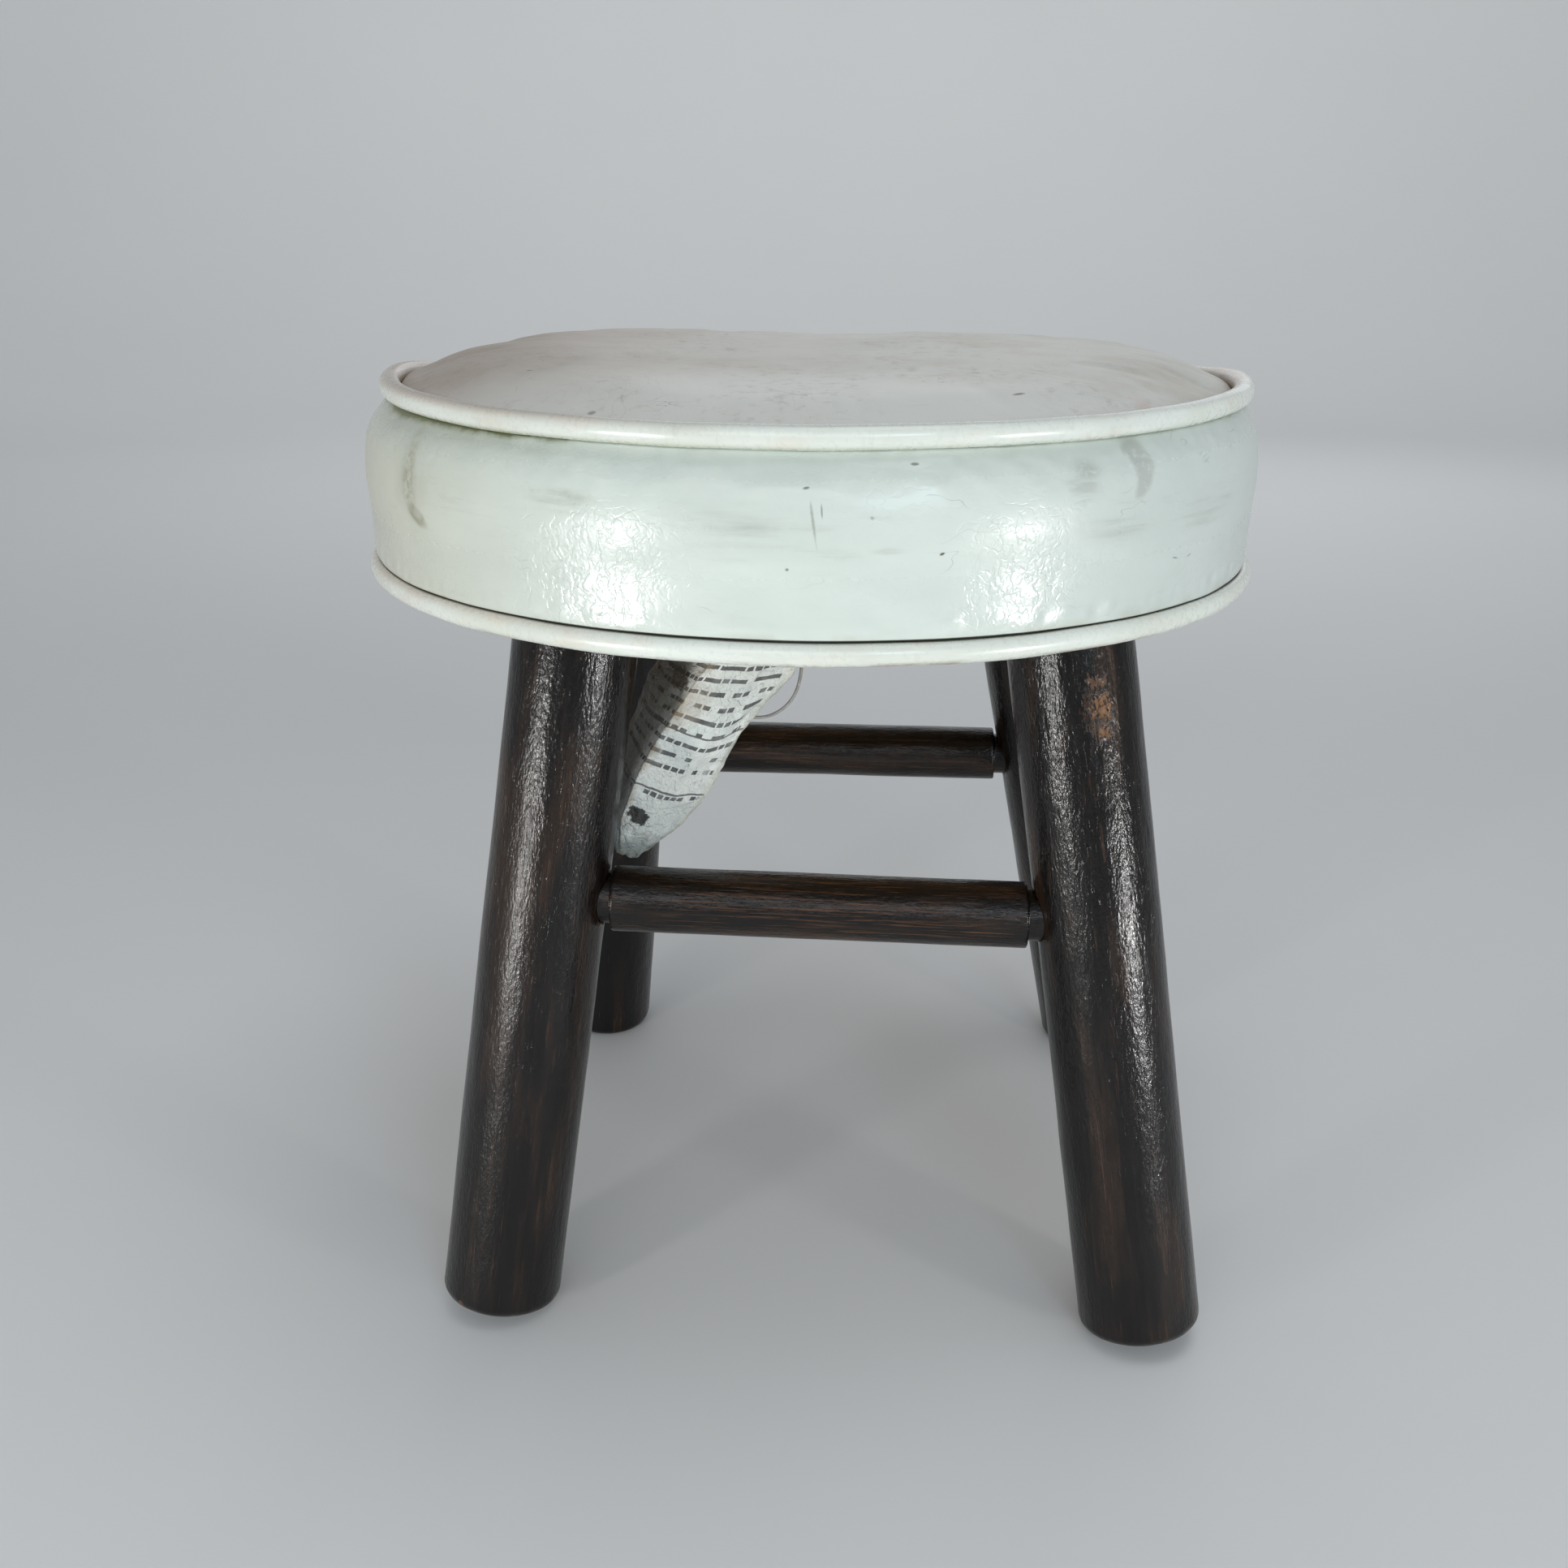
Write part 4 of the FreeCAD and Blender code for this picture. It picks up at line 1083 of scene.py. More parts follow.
def make_top():
    nt, nr = 500, 84
    az = np.linspace(-np.pi, np.pi, nt, endpoint=False)
    q = np.concatenate([np.linspace(0.012, 0.86, 58), np.linspace(0.868, 1.0, 26)])
    A, Q = np.meshgrid(az, q)
    rt, zt = welt_centre(A, 0, 0, 11)
    R = 139.5 * Q + rt * Q**6
    x, y = R * np.sin(A), -R * np.cos(A)
    z = crown_height(x, y) + (zt - SIT[11][3] - leaning(11, np.sin(A), -np.cos(A), 145)) * sstep(Q, 0.8, 1.0)
    if FIELDS is not None:
        z = z + sample(FIELDS[1], Q * (FIELDS[1].shape[0] - 1), (A % (2 * np.pi)) / (2 * np.pi) * FIELDS[1].shape[1])
    reach = (1 - Q) * 139
    env = sstep(Q, 1.0, 0.985)
    z = z + pucker(A, reach, 83) * 0.6 * env
    P = np.stack([x, y, z], -1)
    crease = 1 - np.abs(fbm(P + 5 * fbm(P, 14, 87, 2)[..., None], 13, 89, 2)) * 6
    z = z - np.clip(crease, 0, 1) ** 3 * 0.07 * env
    # the rim rolls down into the seam
    z = z - 1.4 * sstep(Q, 0.988, 1.0)
    P = np.stack([x, y, z], -1)
    v = np.vstack([P.reshape(-1, 3), P[0].mean(0)])
    f = faces_of(nr, nt, True).tolist()
    c = nr * nt
    f += [[c, (j + 1) % nt, j] for j in range(nt)]
    ob = make_mesh("top_panel", v, f)
    so = ob.modifiers.new("s", "SOLIDIFY")
    so.thickness, so.offset = 0.9 * MM, -1
    ob.data.update()
    apply_all(ob)
    outward(ob)
    return ob


def make_foam():
    """The pad inside the cover, a millimetre and a half under it."""
    nt = 240
    az = np.linspace(-np.pi, np.pi, nt, endpoint=False)
    rows = []
    for q in np.linspace(0.02, 0.97, 30):
        x, y = 139 * q * np.sin(az), -139 * q * np.cos(az)
        rows.append(np.stack([x, y, crown_height(x, y) - 2.9], -1))
    for t in np.linspace(0.0, 0.60, 18):
        r, z = band_point(az, np.full(nt, t))
        r = r - 2.7 - 1.6 * (t < 0.06)
        rows.append(np.stack([r * np.sin(az), -r * np.cos(az), np.maximum(z - (0.8 if t < 0.06 else 0), 271.3)], -1))
    for q in (0.9, 0.6, 0.3, 0.03):
        rows.append(np.stack([144.5 * q * np.sin(az), -144.5 * q * np.cos(az), np.full(nt, 271.15)], -1))
    P = np.array(rows)
    P[1:-1] += (fbm(P[1:-1], 6, 91, 2) * 0.25)[..., None] * np.array([0.5, 0.5, 0])
    v = np.vstack([P.reshape(-1, 3), P[0].mean(0), P[-1].mean(0)])
    nr = len(rows)
    f = faces_of(nr, nt, True).tolist()
    c0, c1 = nr * nt, nr * nt + 1
    f += [[c0, (j + 1) % nt, j] for j in range(nt)]
    f += [[c1, (nr - 1) * nt + j, (nr - 1) * nt + (j + 1) % nt] for j in range(nt)]
    ob = make_mesh("foam_core", v, f)
    outward(ob)
    return ob


# ------------------------------------------------------------------ welts
def make_welt(name, ring, height, seed, section):
    """A vinyl sleeve round its cord: an uneven hollow ring with small cross creases."""
    nt, ns = 900, 30
    az = np.linspace(-np.pi, np.pi, nt, endpoint=False)
    ph = np.linspace(0, 2 * np.pi, ns, endpoint=False)
    A, F = np.meshgrid(az, ph, indexing="ij")
    rc, zc = welt_centre(A, ring, height, seed)
    c, s = np.cos(F), np.sin(F)
    rad = WELT_R * (1 + section * (np.abs(c) ** 4 + np.abs(s) ** 4 - 1) * -0.10)
    P = np.stack([(rc + rad * c) * np.sin(A), -(rc + rad * c) * np.cos(A), zc + rad * s], -1)
    outer = np.clip(c * 0.6 + 0.6, 0, 1)
    rad = rad + fbm(P, 17, seed + 50, 2) * 0.12
    ridge = 1 - np.abs(rim_wave(A + 0.03 * s, seed + 54, 6.5, 1.0)) * 7
    gate = sstep(rim_wave(A, seed + 56, 26, 1.0), 0.05, 0.35)
    rad = rad - np.clip(ridge, 0, 1) ** 2 * 0.035 * gate * outer
    # the strip's two ends lap at the rear
    back = (np.abs(A) - np.pi) * ring
    lap = np.where(A > 0, sstep(-back, 14, 11), 0.0) + np.where(A <= 0, np.exp(-((back / 1.0) ** 2)), 0.0)
    rad = rad + 0.35 * lap
    P = np.stack([(rc + rad * c) * np.sin(A), -(rc + rad * c) * np.cos(A), zc + rad * s], -1)
    f = []
    idx = np.arange(nt * ns).reshape(nt, ns)
    a, b = idx, np.roll(idx, -1, 0)
    outer_f = np.stack([a, np.roll(a, -1, 1), np.roll(b, -1, 1), b], -1).reshape(-1, 4)
    # the hollow for the cord
    mt, ms = 300, 14
    az2 = np.linspace(-np.pi, np.pi, mt, endpoint=False)
    ph2 = np.linspace(0, 2 * np.pi, ms, endpoint=False)
    A2, F2 = np.meshgrid(az2, ph2, indexing="ij")
    r2, z2 = welt_centre(A2, ring, height, seed)
    P2 = np.stack([(r2 + 2.32 * np.cos(F2)) * np.sin(A2), -(r2 + 2.32 * np.cos(F2)) * np.cos(A2), z2 + 2.32 * np.sin(F2)], -1)
    idx2 = np.arange(mt * ms).reshape(mt, ms) + nt * ns
    a, b = idx2, np.roll(idx2, -1, 0)
    inner_f = np.stack([a, b, np.roll(b, -1, 1), np.roll(a, -1, 1)], -1).reshape(-1, 4)
    ob = make_mesh(name, np.vstack([P.reshape(-1, 3), P2.reshape(-1, 3)]), np.vstack([outer_f, inner_f]))
    fix_ring(ob, nt * ns)
    return ob


def fix_ring(ob, n_outer):
    """Reads the mesh's first face: its centre's radius, first corner, angle round the ring and normal. The normals are
    left as they are.
    """
    me = ob.data
    me.update()
    k = me.polygons[0]
    c = Vector(k.center)
    rad = math.hypot(c.x, c.y)
    v0 = me.vertices[k.vertices[0]].co
    ang = math.atan2(c.x, -c.y)
    n = k.normal
    return me, rad, v0, ang, n


def make_cord(name, ring, height, seed, strands=3):
    """The filler: three twisted strands on the welt's line."""
    vs, fs = [], []
    nt, ns = 1080, 8
    az = np.linspace(-np.pi, np.pi, nt, endpoint=False)
    turns = 86
    for k in range(strands):
        rc, zc = welt_centre(az, ring, height, seed)
        th = az * turns + 2 * np.pi * k / strands
        off, sr = 0.98, 1.03
        cr, cz = rc + off * np.cos(th), zc + off * np.sin(th)
        ph = np.linspace(0, 2 * np.pi, ns, endpoint=False)
        R = cr[:, None] + sr * np.cos(ph)[None, :]
        Z = cz[:, None] + sr * np.sin(ph)[None, :]
        P = np.stack([R * np.sin(az)[:, None], -R * np.cos(az)[:, None], Z], -1)
        idx = np.arange(nt * ns).reshape(nt, ns) + k * nt * ns
        a, b = idx, np.roll(idx, -1, 0)
        vs.append(P.reshape(-1, 3))
        fs.append(np.stack([a, np.roll(a, -1, 1), np.roll(b, -1, 1), b], -1).reshape(-1, 4))
    ob = make_mesh(name, np.vstack(vs), np.vstack(fs))
    outward(ob)
    return ob


# ------------------------------------------------------------------ hem under the board
def make_hem():
    nt, nr = 780, 16
    az = np.linspace(-np.pi, np.pi, nt, endpoint=False)
    q = np.linspace(0, 1, nr)
    A, Q = np.meshgrid(az, q)
    rin = 127.6 + rim_wave(A, 101, 20, 2.0) + rim_wave(A, 103, 5, 0.6)
    rb, zb = welt_centre(A, BOTTOM_WELT[0] - WELT_R - 0.1, 0, 31)
    R = rin + (rb - rin) * Q
    staple = np.abs(((A / (2 * np.pi) * 26) % 1) - 0.5) * 2  # 0 midway, 1 at a staple
    staple = 1 - staple if True else staple
    hold = sstep(staple, 0.45, 0.85) * np.exp(-(((R - 134.6) / 5.0) ** 2))
    pleat = rim_wave(A + (R - 134) * 0.0016, 107, 6.5, 1.0)
    puff = 0.30 + 0.34 * sstep(np.abs(pleat), 0.0, 0.5) + 0.30 * (1 - np.abs(staple - 0.5) * 2) * 0.5
    puff = puff * (1 - hold)
    puff = puff * (0.35 + 0.65 * sstep(Q, 0.0, 0.25))
    low = 251.02 - puff * 0.9
    top = np.full_like(low, 251.93)
    Pb = np.stack([R * np.sin(A), -R * np.cos(A), low], -1)
    Pt = np.stack([R * np.sin(A), -R * np.cos(A), top], -1)
    rows = np.concatenate([Pb, Pt[::-1]], 0)
    n = rows.shape[0]
    f = faces_of(n, nt, True).tolist()
    j = np.arange(nt)
    f += np.stack([(n - 1) * nt + j, (n - 1) * nt + (j + 1) % nt, (j + 1) % nt, j], -1).tolist()
    ob = make_mesh("bottom_hem", rows.reshape(-1, 3), f)
    outward(ob)
    return ob


# ------------------------------------------------------------------ legs
BOARD_Z, BOARD_T = 252.0, 19.0
LEG_R, LEG_EDGE_R, FOOT_FLAT, TENON_R = 20.3, 4.0, 0.8, 14.0
LEGS = {
    "leg_front_left": ((-105.1, -101.0), (-70.6, -63.5)),
    "leg_front_right": ((118.9, -107.0), (82.4, -62.0)),
    "leg_rear_left": ((-99.6, 105.0), (-73.6, 67.0)),
    "leg_rear_right": ((129.4, 101.5), (77.9, 60.5)),
}


def leg_frame(name):
    (ax, ay), (bx, by) = LEGS[name]
    a, b = np.array([ax, ay, 0.0]), np.array([bx, by, BOARD_Z])
    u = (b - a) / np.linalg.norm(b - a)
    e2 = np.array([0, -1.0, 0]) - u * (-u[1])
    e2 /= np.linalg.norm(e2)
    e1 = np.cross(u, e2)
    if e1[0] < 0:
        e1 = -e1
    tilt = math.acos(u[2])
    foot_z = -FOOT_FLAT + LEG_EDGE_R - LEG_EDGE_R * math.cos(tilt) + (LEG_R - LEG_EDGE_R) * math.sin(tilt)
    foot = a + u * (foot_z / u[2])
    return a, u, e1, e2, foot


STRETCHERS = {
    "front_stretcher": (("leg_front_left", 146.5, 2.0), ("leg_front_right", 143.1, 3.0)),
    "rear_stretcher": (("leg_rear_left", 144.8, 1.9), ("leg_rear_right", 144.8, 2.6)),
}
STRETCHER_R, STRETCHER_TENON_R, STRETCHER_TENON_STOP = 10.95, 8.4, 1.0


def stretcher_line(name):
    ends = []
    for leg, z, gap in STRETCHERS[name]:
        a, u, *_ = leg_frame(leg)
        ends.append((a + u * (z / u[2]), u, gap))
    p, q = ends[0][0], ends[1][0]
    d = (q - p) / np.linalg.norm(q - p)
    cut = [LEG_R / np.linalg.norm(d - u * (d @ u)) + gap for _, u, gap in ends]
    return p, q, d, cut


def make_leg(name, seed):
    a, u, e1, e2, foot = leg_frame(name)
    off = float((foot - a) @ u)
    nt = 150
    th = np.linspace(-np.pi, np.pi, nt, endpoint=False)
    ring_dir = np.sin(th)[:, None] * e1 + np.cos(th)[:, None] * e2
    rows = []
    # end grain, the rounded edge, then the shaft up to the board's underside
    for r in (0.5, 6.0, 11.0, 14.5, 16.3):
        rows.append((0.0, r, 0.0))
    for k in range(1, 9):
        t = k / 8 * math.pi / 2
        rows.append((LEG_EDGE_R * (1 - math.cos(t)), LEG_R - LEG_EDGE_R + LEG_EDGE_R * math.sin(t), 1.0))
    n_foot = len(rows)
    top = (BOARD_Z - foot[2]) / u[2]
    shaft = np.linspace(LEG_EDGE_R + 1.2, 1.0, 2)
    out = []
    for h, r, rough in rows:
        P = foot + u * h + ring_dir * r
        amt = sstep(r, 10, 20)
        dent = fbm(P, (6, 6, 6), seed, 2) * 0.16 * amt + np.minimum(fbm(P, (9, 9, 9), seed + 9, 2) - 0.22, 0) * 0.0
        P = P + ring_dir * (dent * 1.0)[:, None]
        out.append(P)
    n_sh = 190
    for i in range(n_sh):
        t = (i + 1) / n_sh
        # each ring slides from square to the shaft at the foot to level at the board
        base = foot + u * (LEG_EDGE_R + (top - LEG_EDGE_R) * t) + ring_dir * LEG_R
        lvl = sstep(t, 0.55, 1.0)
        h = (base - foot) @ u
        target = foot + np.outer(h, u) + ring_dir * LEG_R
        # height correction that makes the last ring lie in the board's plane
        dz = (BOARD_Z - base[:, 2]) / u[2]
        if t < 1:
            shift = dz - dz.mean()
            target = target + np.outer(shift * lvl, u)
        else:
            target = base + np.outer(dz, u)
        P = target
        env = min(1.0, t * 6) * (1 if t < 0.995 else 0)
        bow = fbm(P, (30, 30, 60), seed + 1, 2) * 0.28 + fbm(P, (7, 7, 18), seed + 2, 2) * 0.11
        pit = np.clip(fbm(P, (4, 4, 7), seed + 3, 2) - 0.42, 0, 1) * 0.35
        P = P + ring_dir * ((bow - pit) * env)[:, None]
        out.append(P)
    # shoulder, then the tenon up through the board
    n_body = len(out)
    for r, z in ((TENON_R + 0.35, BOARD_Z), (TENON_R, BOARD_Z + 0.35), (TENON_R, BOARD_Z + 6), (TENON_R, BOARD_Z + 12),
                 (TENON_R, BOARD_Z + BOARD_T - 0.6), (TENON_R - 0.5, BOARD_Z + BOARD_T), (7.0, BOARD_Z + BOARD_T), (0.5, BOARD_Z + BOARD_T)):
        base = a + ring_dir * r
        k = (z - base[:, 2]) / u[2]
        out.append(base + np.outer(k, u))
    P = np.array(out)
    # the level wear flat at the foot
    low = P[..., 2] < 0
    P[..., 2] = np.where(low, P[..., 2] * 0.02, P[..., 2])
    P[..., 2] = np.maximum(P[..., 2], 0.0)
    nr = len(out)
    v = np.vstack([P.reshape(-1, 3), P[0].mean(0), P[-1].mean(0)])
    f = faces_of(nr, nt, True).tolist()
    c0, c1 = nr * nt, nr * nt + 1
    f += [[c0, (j + 1) % nt, j] for j in range(nt)]
    f += [[c1, (nr - 1) * nt + j, (nr - 1) * nt + (j + 1) % nt] for j in range(nt)]
    ob = make_mesh(name + "_turned", v, f)
    outward(ob)
    return ob


def bore(ob, mats, name, side):
    """Cuts the stretcher's mortise into a leg, with a slightly broken pale rim."""
    p, q, d, cut = stretcher_line(name)
    o, w = (p, d) if side == 0 else (q, -d)
    e1 = np.cross(w, [0, 0, 1.0])
    e1 /= np.linalg.norm(e1)
    e2 = np.cross(e1, w)
    th = np.linspace(0, 2 * np.pi, 72, endpoint=False)
    cs = np.cos(th)[:, None] * e1 + np.sin(th)[:, None] * e2
    rows = []
    for h, r in ((0.55, 8.62), (10.0, 8.62), (18.6, 8.65), (19.8, 9.0), (21.2, 9.7), (30.0, 9.7)):
        P = o + w * h + cs * r
        if h > 15:
            P = P + cs * (fbm(P, 3.2, 140 + side, 2) * 0.5)[:, None]
        rows.append(P)
    P = np.array(rows)
    v = np.vstack([P.reshape(-1, 3), P[0].mean(0), P[-1].mean(0)])
    nr, nt = len(rows), 72
    f = faces_of(nr, nt, True).tolist()
    f += [[nr * nt, (j + 1) % nt, j] for j in range(nt)]
    f += [[nr * nt + 1, (nr - 1) * nt + j, (nr - 1) * nt + (j + 1) % nt] for j in range(nt)]
    cutter = make_mesh("bore_cutter", v, f)
    outward(cutter)
    cutter.data.materials.append(mats[0])
    cutter.data.materials.append(mats[1])
    cutter.data.polygons.foreach_set("material_index", [1] * len(cutter.data.polygons))
    md = ob.modifiers.new("b", "BOOLEAN")
    md.operation, md.object, md.solver = "DIFFERENCE", cutter, "EXACT"
    apply_all(ob)
    bpy.data.objects.remove(cutter)


def make_stretcher(name, seed):
    p, q, d, cut = stretcher_line(name)
    L = float(np.linalg.norm(q - p))
    e1 = np.cross(d, [0, 0, 1.0])
    e1 /= np.linalg.norm(e1)
    e2 = np.cross(e1, d)
    nt = 110
    th = np.linspace(0, 2 * np.pi, nt, endpoint=False)
    cs = np.cos(th)[:, None] * e1 + np.sin(th)[:, None] * e2
    s0, s1 = cut[0], L - cut[1]
    stations = [(STRETCHER_TENON_STOP, 0.5), (STRETCHER_TENON_STOP, 4.0), (STRETCHER_TENON_STOP, 7.6), (STRETCHER_TENON_STOP + 0.6, STRETCHER_TENON_R)]
    stations += [(h, STRETCHER_TENON_R) for h in np.linspace(3, s0 - 0.4, 16)]
    stations += [(s0, STRETCHER_TENON_R - 0.05), (s0, 9.4), (s0 + 0.05, 10.3), (s0 + 0.22, 10.72), (s0 + 0.6, 10.92)]
    stations += [(h, STRETCHER_R) for h in np.linspace(s0 + 1.4, s1 - 1.4, 170)]
    stations += [(s1 - 0.6, 10.92), (s1 - 0.22, 10.72), (s1 - 0.05, 10.3), (s1, 9.4), (s1, STRETCHER_TENON_R - 0.05)]
    stations += [(h, STRETCHER_TENON_R) for h in np.linspace(s1 + 0.4, L - 3, 16)]
    e = L - STRETCHER_TENON_STOP
    stations += [(e - 0.6, STRETCHER_TENON_R), (e, 7.6), (e, 4.0), (e, 0.5)]
    out = []
    for h, r in stations:
        P = p + d * h + cs * r
        body = float(r > 9)
        # the shoulders are sawn a little out of square
        if body and h < s0 + 1:
            P = P + d * (np.sin(th + 0.6) * 0.28 + fbm(P, 2.4, seed + 4, 2) * 0.12)[:, None] * 0.8
        if body and h > s1 - 1:
            P = P + d * (-np.sin(th) * 0.45 + fbm(P, 2.4, seed + 5, 2) * 0.14)[:, None] * 0.8
        amp = 0.14 if body else 0.05
        bow = fbm(P, (24, 12, 12), seed, 2) * amp + fbm(P, (9, 3.0, 3.0), seed + 2, 2) * amp * 0.4
        flat = -0.22 * np.exp(-(((th - 2.5 + 0.15 * math.sin(h / 30)) / 0.22) ** 2)) * body
        out.append(P + cs * (bow + flat)[:, None])
    P = np.array(out)
    nr = len(out)
    v = np.vstack([P.reshape(-1, 3), P[0].mean(0), P[-1].mean(0)])
    f = faces_of(nr, nt, True).tolist()
    f += [[nr * nt, (j + 1) % nt, j] for j in range(nt)]
    f += [[nr * nt + 1, (nr - 1) * nt + j, (nr - 1) * nt + (j + 1) % nt] for j in range(nt)]
    ob = make_mesh(name + "_turned", v, f)
    outward(ob)
    return ob, p, d, e1, e2, L


# ------------------------------------------------------------------ label
LZ = 251.73
LABEL = [
    [(-32.6, -39.5, LZ), (-20.1, -39.5, LZ), (-7.1, -39.5, LZ), (5.9, -39.5, LZ), (18.9, -39.5, LZ)],
    [(-33.6, -47.5, LZ), (-21.1, -48.5, LZ), (-8.1, -49.5, LZ), (4.9, -50.0, LZ), (17.9, -50.0, LZ)],
    [(-36.9, -50.5, 247.0), (-24.9, -53.5, 247.0), (-11.9, -57.5, 247.0), (1.1, -56.0, 247.0), (13.4, -53.0, 247.0)],
    [(-42.9, -48.0, 237.0), (-32.4, -54.5, 235.0), (-21.9, -61.5, 234.0), (-9.9, -57.0, 233.0), (2.6, -51.0, 232.5)],
    [(-48.9, -42.5, 222.5), (-41.4, -52.0, 219.5), (-33.6, -62.0, 218.5), (-17.9, -55.0, 216.5), (-3.6, -47.0, 216.8)],
    [(-55.4, -41.0, 207.0), (-49.9, -51.5, 204.0), (-43.6, -62.0, 203.5), (-29.4, -54.5, 197.0), (-18.2, -47.5, 200.5)],
    [(-60.4, -42.5, 195.0), (-56.4, -52.5, 191.5), (-52.2, -62.0, 190.0), (-38.4, -55.0, 183.0), (-28.4, -49.0, 181.5)],
    [(-64.4, -45.5, 181.0), (-61.9, -53.5, 177.5), (-59.0, -61.5, 175.0), (-47.9, -56.5, 169.5), (-37.2, -51.0, 168.5)],
    [(-66.9, -49.5, 168.0), (-64.9, -54.5, 165.5), (-62.7, -59.5, 163.0), (-54.4, -57.5, 158.5), (-45.9, -54.0, 159.5)],
    [(-67.2, -53.0, 159.0), (-64.9, -55.5, 155.5), (-62.4, -58.0, 152.8), (-58.4, -57.5, 151.2), (-52.9, -56.5, 155.5)],
]


def through(rows, n):
    """Smooth resampling of rows of points along their first axis."""
    p = np.array(rows, float)
    s = np.concatenate([[0], np.cumsum(np.linalg.norm(np.diff(p, axis=0), axis=-1).mean(-1))])
    s /= s[-1]
    m = np.gradient(p, s, axis=0)
    t = np.linspace(0, 1, n)
    k = np.clip(np.searchsorted(s, t, side="right") - 1, 0, len(s) - 2)
    h = (s[k + 1] - s[k])[:, None, None]
    x = ((t - s[k]) / (s[k + 1] - s[k]))[:, None, None]
    h00, h10, h01, h11 = 2 * x**3 - 3 * x**2 + 1, x**3 - 2 * x**2 + x, -2 * x**3 + 3 * x**2, x**3 - x**2
    return h00 * p[k] + h10 * h * m[k] + h01 * p[k + 1] + h11 * h * m[k + 1]


def make_label():
    nv, nu = 190, 97
    rows = through(LABEL, nv)
    # across: the two halves meet in a soft fold
    c = rows.transpose(1, 0, 2)
    a = through(c[:3], 49)
    b = through(c[2:], 49)
    P = np.concatenate([a, b[1:]], 0).transpose(1, 0, 2)
    U, W = np.meshgrid(np.linspace(0, 1, nu), np.linspace(0, 1, nv))
    fold = np.exp(-(((U - 0.5) / 0.035) ** 2))
    du, dv = np.gradient(P, axis=1), np.gradient(P, axis=0)
    N = np.cross(du, dv)
    N /= np.linalg.norm(N, axis=-1, keepdims=True)
    N = N * np.sign((N @ np.array([0, -1.0, 0])))[..., None]
    hang = sstep(W, 0.16, 0.30)
    S = np.stack([U * 52, W * 101.5, np.zeros_like(U)], -1)
    crum = fbm(S, (15, 20, 1), 201, 2) * 1.7 + (0.5 - np.abs(fbm(S, (11, 14, 1), 205, 2))) * 2.1 + (0.35 - np.abs(fbm(S, (5, 6, 1), 209, 2))) * 1.0
    tip = sstep(W, 0.80, 1.0)
    P = P + N * ((crum - 0.62) * hang * (1 - 0.35 * fold) + tip * fbm(S, (6, 7, 1), 213, 2) * 0.9)[..., None]
    P = P + np.array([0, -1.0, 0]) * (fold * hang * 0.3)[..., None] * 0
    # edges that have curled and frayed
    edge = np.minimum(U, 1 - U)
    P = P + np.array([0, 1.0, 0]) * (np.exp(-edge / 0.03) * hang * fbm(S, (1, 9, 1), 221, 2) * 1.3)[..., None]
    P[..., 0] += np.exp(-(1 - U) / 0.012) * fbm(S, (1, 1.6, 1), 223, 2) * 0.5 * hang
    P[..., 2] = np.minimum(P[..., 2], LZ)
    v = P.reshape(-1, 3)
    ob = make_mesh("hanging_label", v, faces_of(nv, nu, False))
    me = ob.data
    lay = me.uv_layers.new(name="UVMap")
    loops = np.zeros(len(me.loops), int)
    me.loops.foreach_get("vertex_index", loops)
    uvs = np.stack([U.ravel()[loops], W.ravel()[loops]], -1)
    lay.data.foreach_set("uv", uvs.ravel())
    # area of the sheet, in square metres
    p0, p1, p2, p3 = P[:-1, :-1], P[:-1, 1:], P[1:, 1:], P[1:, :-1]
    area = (np.linalg.norm(np.cross(p1 - p0, p2 - p0), axis=-1) + np.linalg.norm(np.cross(p2 - p0, p3 - p0), axis=-1)).sum() / 2
    me.update()
    n = me.polygons[nu * nv // 2].normal
    if n.y > 0:
        me.flip_normals()
    so = ob.modifiers.new("s", "SOLIDIFY")
    so.thickness, so.offset = 0.16 * MM, 0
    so.material_offset = 1
    so.material_offset_rim = 1
    return ob, area


# ------------------------------------------------------------------ build
def put(ob, mats, slot, *nodes, parent_body="root"):
    mats = mats if isinstance(mats, (list, tuple)) else [mats]
    ob.data.materials.clear()
    for k in mats:
        ob.data.materials.append(k)
    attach(ob, parent_body)
    if nodes:
        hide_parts(*nodes)
    return ob


band = put(make_band(), vinyl_band(), "vinyl", "cover_side_band")
top = put(make_top(), vinyl_top(), "vinyl", "cover_top_panel")
foam = put(make_foam(), foam_mat(), "foam", "foam_pad")

put(make_welt("top_welt", *TOP_WELT, 11, 0.6), vinyl_welt("vinyl_top_welt", *TOP_WELT, False), "vinyl", "top_welt_sleeve")
put(make_welt("bottom_welt", *BOTTOM_WELT, 31, 0.6), vinyl_welt("vinyl_bottom_welt", *BOTTOM_WELT, True), "vinyl", "bottom_welt_sleeve")
cord_m = cord_mat()
put(make_cord("top_welt_filler", *TOP_WELT, 11), cord_m, "welt_cord", "top_welt_cord")
put(make_cord("bottom_welt_filler", *BOTTOM_WELT, 31), cord_m, "welt_cord", "bottom_welt_cord")
put(make_hem(), vinyl_hem(), "vinyl", "cover_bottom_hem")

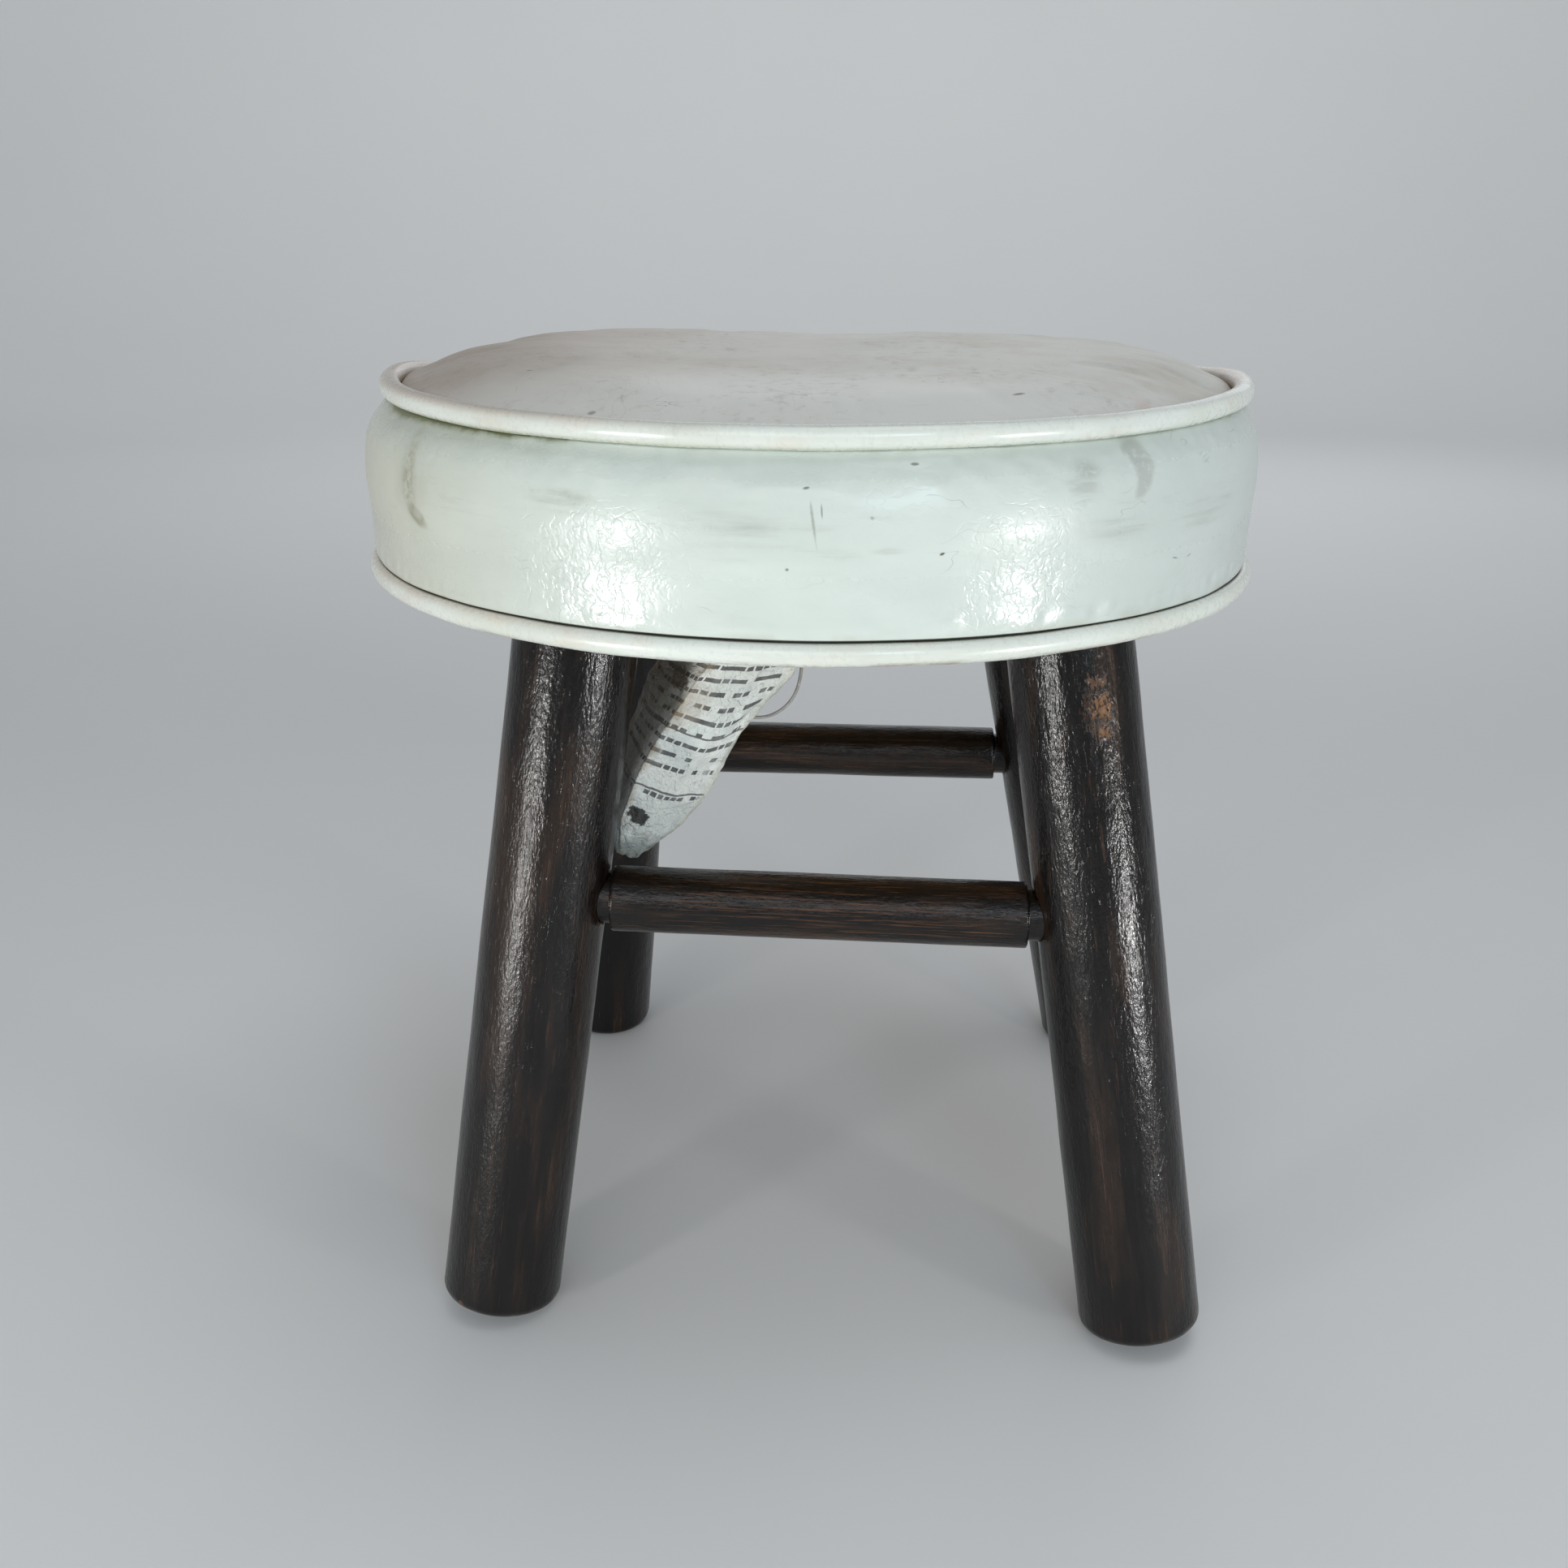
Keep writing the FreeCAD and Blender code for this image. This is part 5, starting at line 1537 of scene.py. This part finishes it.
MATT_SHEEN_PATCHES = {"leg_front_left": (-24, 150, 9.0, 72)}
MARKS = {
    "leg_front_right": [(16.5, 219.3, 3.9, 3.9, 0.8), (18.5, 211.3, 2.6, 2.4, 0.85), (14, 227.5, 4.6, 2.2, 0.35), (13, 219, 5.5, 11, 0.2)],
    "leg_front_left": [(-33, 5, 1.0, 1.6, 0.8)],
}
for i, name in enumerate(LEGS):
    a, u, e1, e2, foot = leg_frame(name)
    dark = dark_wood(name + "_stain", a, e1, e2, u, LEG_R, MARKS.get(name, ()), seed=3.0 * i, matt_sheen_patch=MATT_SHEEN_PATCHES.get(name))
    pale = pale_wood(name + "_bare", a, e1, e2, u, (176, 138, 92), (204, 168, 120), seed=float(i))
    leg = make_leg(name, 301 + 20 * i)
    leg.data.materials.append(dark)
    leg.data.materials.append(pale)
    st = "front_stretcher" if "front" in name else "rear_stretcher"
    bore(leg, (dark, pale), st, 0 if "left" in name else 1)
    leg.data.polygons.foreach_set("use_smooth", [True] * len(leg.data.polygons))
    idx = [p.material_index for p in leg.data.polygons]
    leg.data.materials.clear()
    leg.data.materials.append(dark)
    leg.data.materials.append(pale)
    leg.data.polygons.foreach_set("material_index", idx)
    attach(leg, "root")
    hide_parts(name)

for i, name in enumerate(STRETCHERS):
    ob, p, d, e1, e2, L = make_stretcher(name, 401 + 20 * i)
    put(ob, dark_wood(name + "_stain", p, e1, e2, d, STRETCHER_R, (), worn=0.55 if "front" in name else 0.25,
                      length=L, seed=20.0 + 5 * i, chips=False), "stained_wood", name)

label, area = make_label()
put(label, [label_mat(), label_mat(True)], "label", "sewn_in_label")
print("label area", area)

tie.data.materials.append(tie_mat())


def dress(node, mat):
    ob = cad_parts[node]
    ob.data.materials.clear()
    ob.data.materials.append(mat)


dress("seat_board", board_wood())
dress("leg_wedges", end_wood())
steel = steel_mat()
dress("hem_staples", steel)
dress("label_staples", steel)


# ------------------------------------------------------------------ stage and light
def make_floor():
    """A pale floor that curves up into a wall all the way round."""
    me = bpy.data.meshes.new("floor")
    prof = [(r, -0.0002) for r in (0.3, 0.6, 1.0, 1.5, 2.0, 2.4)]
    prof += [(2.4 + 1.2 * math.sin(t), 1.2 - 1.2 * math.cos(t) - 0.0002) for t in np.linspace(0.12, math.pi / 2, 14)]
    prof += [(3.6, 1.35)]
    n = 120
    th = np.linspace(0, 2 * np.pi, n, endpoint=False)
    vs = [(0, 0, -0.0002)] + [(r * math.cos(t), r * math.sin(t), z) for r, z in prof for t in th]
    fs = [(0, 1 + j, 1 + (j + 1) % n) for j in range(n)]
    for i in range(len(prof) - 1):
        b = 1 + i * n
        fs += [(b + j, b + n + j, b + n + (j + 1) % n, b + (j + 1) % n) for j in range(n)]
    me.from_pydata(vs, [], fs)
    me.polygons.foreach_set("use_smooth", [True] * len(me.polygons))
    ob = bpy.data.objects.new("floor", me)
    SC.collection.objects.link(ob)
    me.materials.append(floor_mat())


def lamp(name, at, look, size, watts, colour=(1, 1, 1), spread=180):
    li = bpy.data.lights.new(name, "AREA")
    li.shape = "RECTANGLE"
    li.size, li.size_y = size
    li.energy = watts
    li.color = colour
    li.spread = math.radians(spread)
    ob = bpy.data.objects.new(name, li)
    d = Vector(look) - Vector(at)
    ob.rotation_mode = "QUATERNION"
    ob.location = at
    ob.rotation_quaternion = d.to_track_quat("-Z", "Y")
    ob.visible_camera = False
    SC.collection.objects.link(ob)


make_floor()
lamp("left_box", (-0.67, -0.76, 0.105), (-0.05, -0.12, 0.20), (0.09, 0.13), 1.3, (1.0, 0.99, 0.965), 110)
lamp("right_box", (0.79, -0.66, 0.10), (0.05, -0.12, 0.20), (0.085, 0.105), 1.1, (1.0, 0.99, 0.975), 110)
lamp("window", (0.50, -1.30, 0.69), (0.03, -0.14, 0.29), (0.36, 0.30), 2.4, (0.62, 0.82, 1.0))
lamp("front_fill", (-0.30, -2.0, 1.15), (0, 0, 0.24), (1.3, 0.9), 5.0, (0.98, 0.99, 1.0))
lamp("overhead", (0.35, -0.1, 2.0), (0, 0, 0.3), (1.0, 0.9), 5.0, (0.97, 0.98, 1.0))
lamp("wall_wash", (0.0, 1.1, 2.5), (0, 3.5, 0.7), (2.2, 0.5), 13, (0.97, 0.99, 1.0), 130)
lamp("rear_fill", (0.3, 1.9, 1.0), (0, 0, 0.2), (1.6, 1.0), 3, (0.95, 0.97, 1.0))

world = bpy.data.worlds.new("studio")
SC.world = world
world.use_nodes = True
bg = world.node_tree.nodes["Background"]
bg.inputs[0].default_value = (0.92, 0.96, 1.0, 1)
bg.inputs[1].default_value = 0.35
SC.view_settings.view_transform = "Standard"
SC.view_settings.look = "None"

bpy.context.view_layer.update()
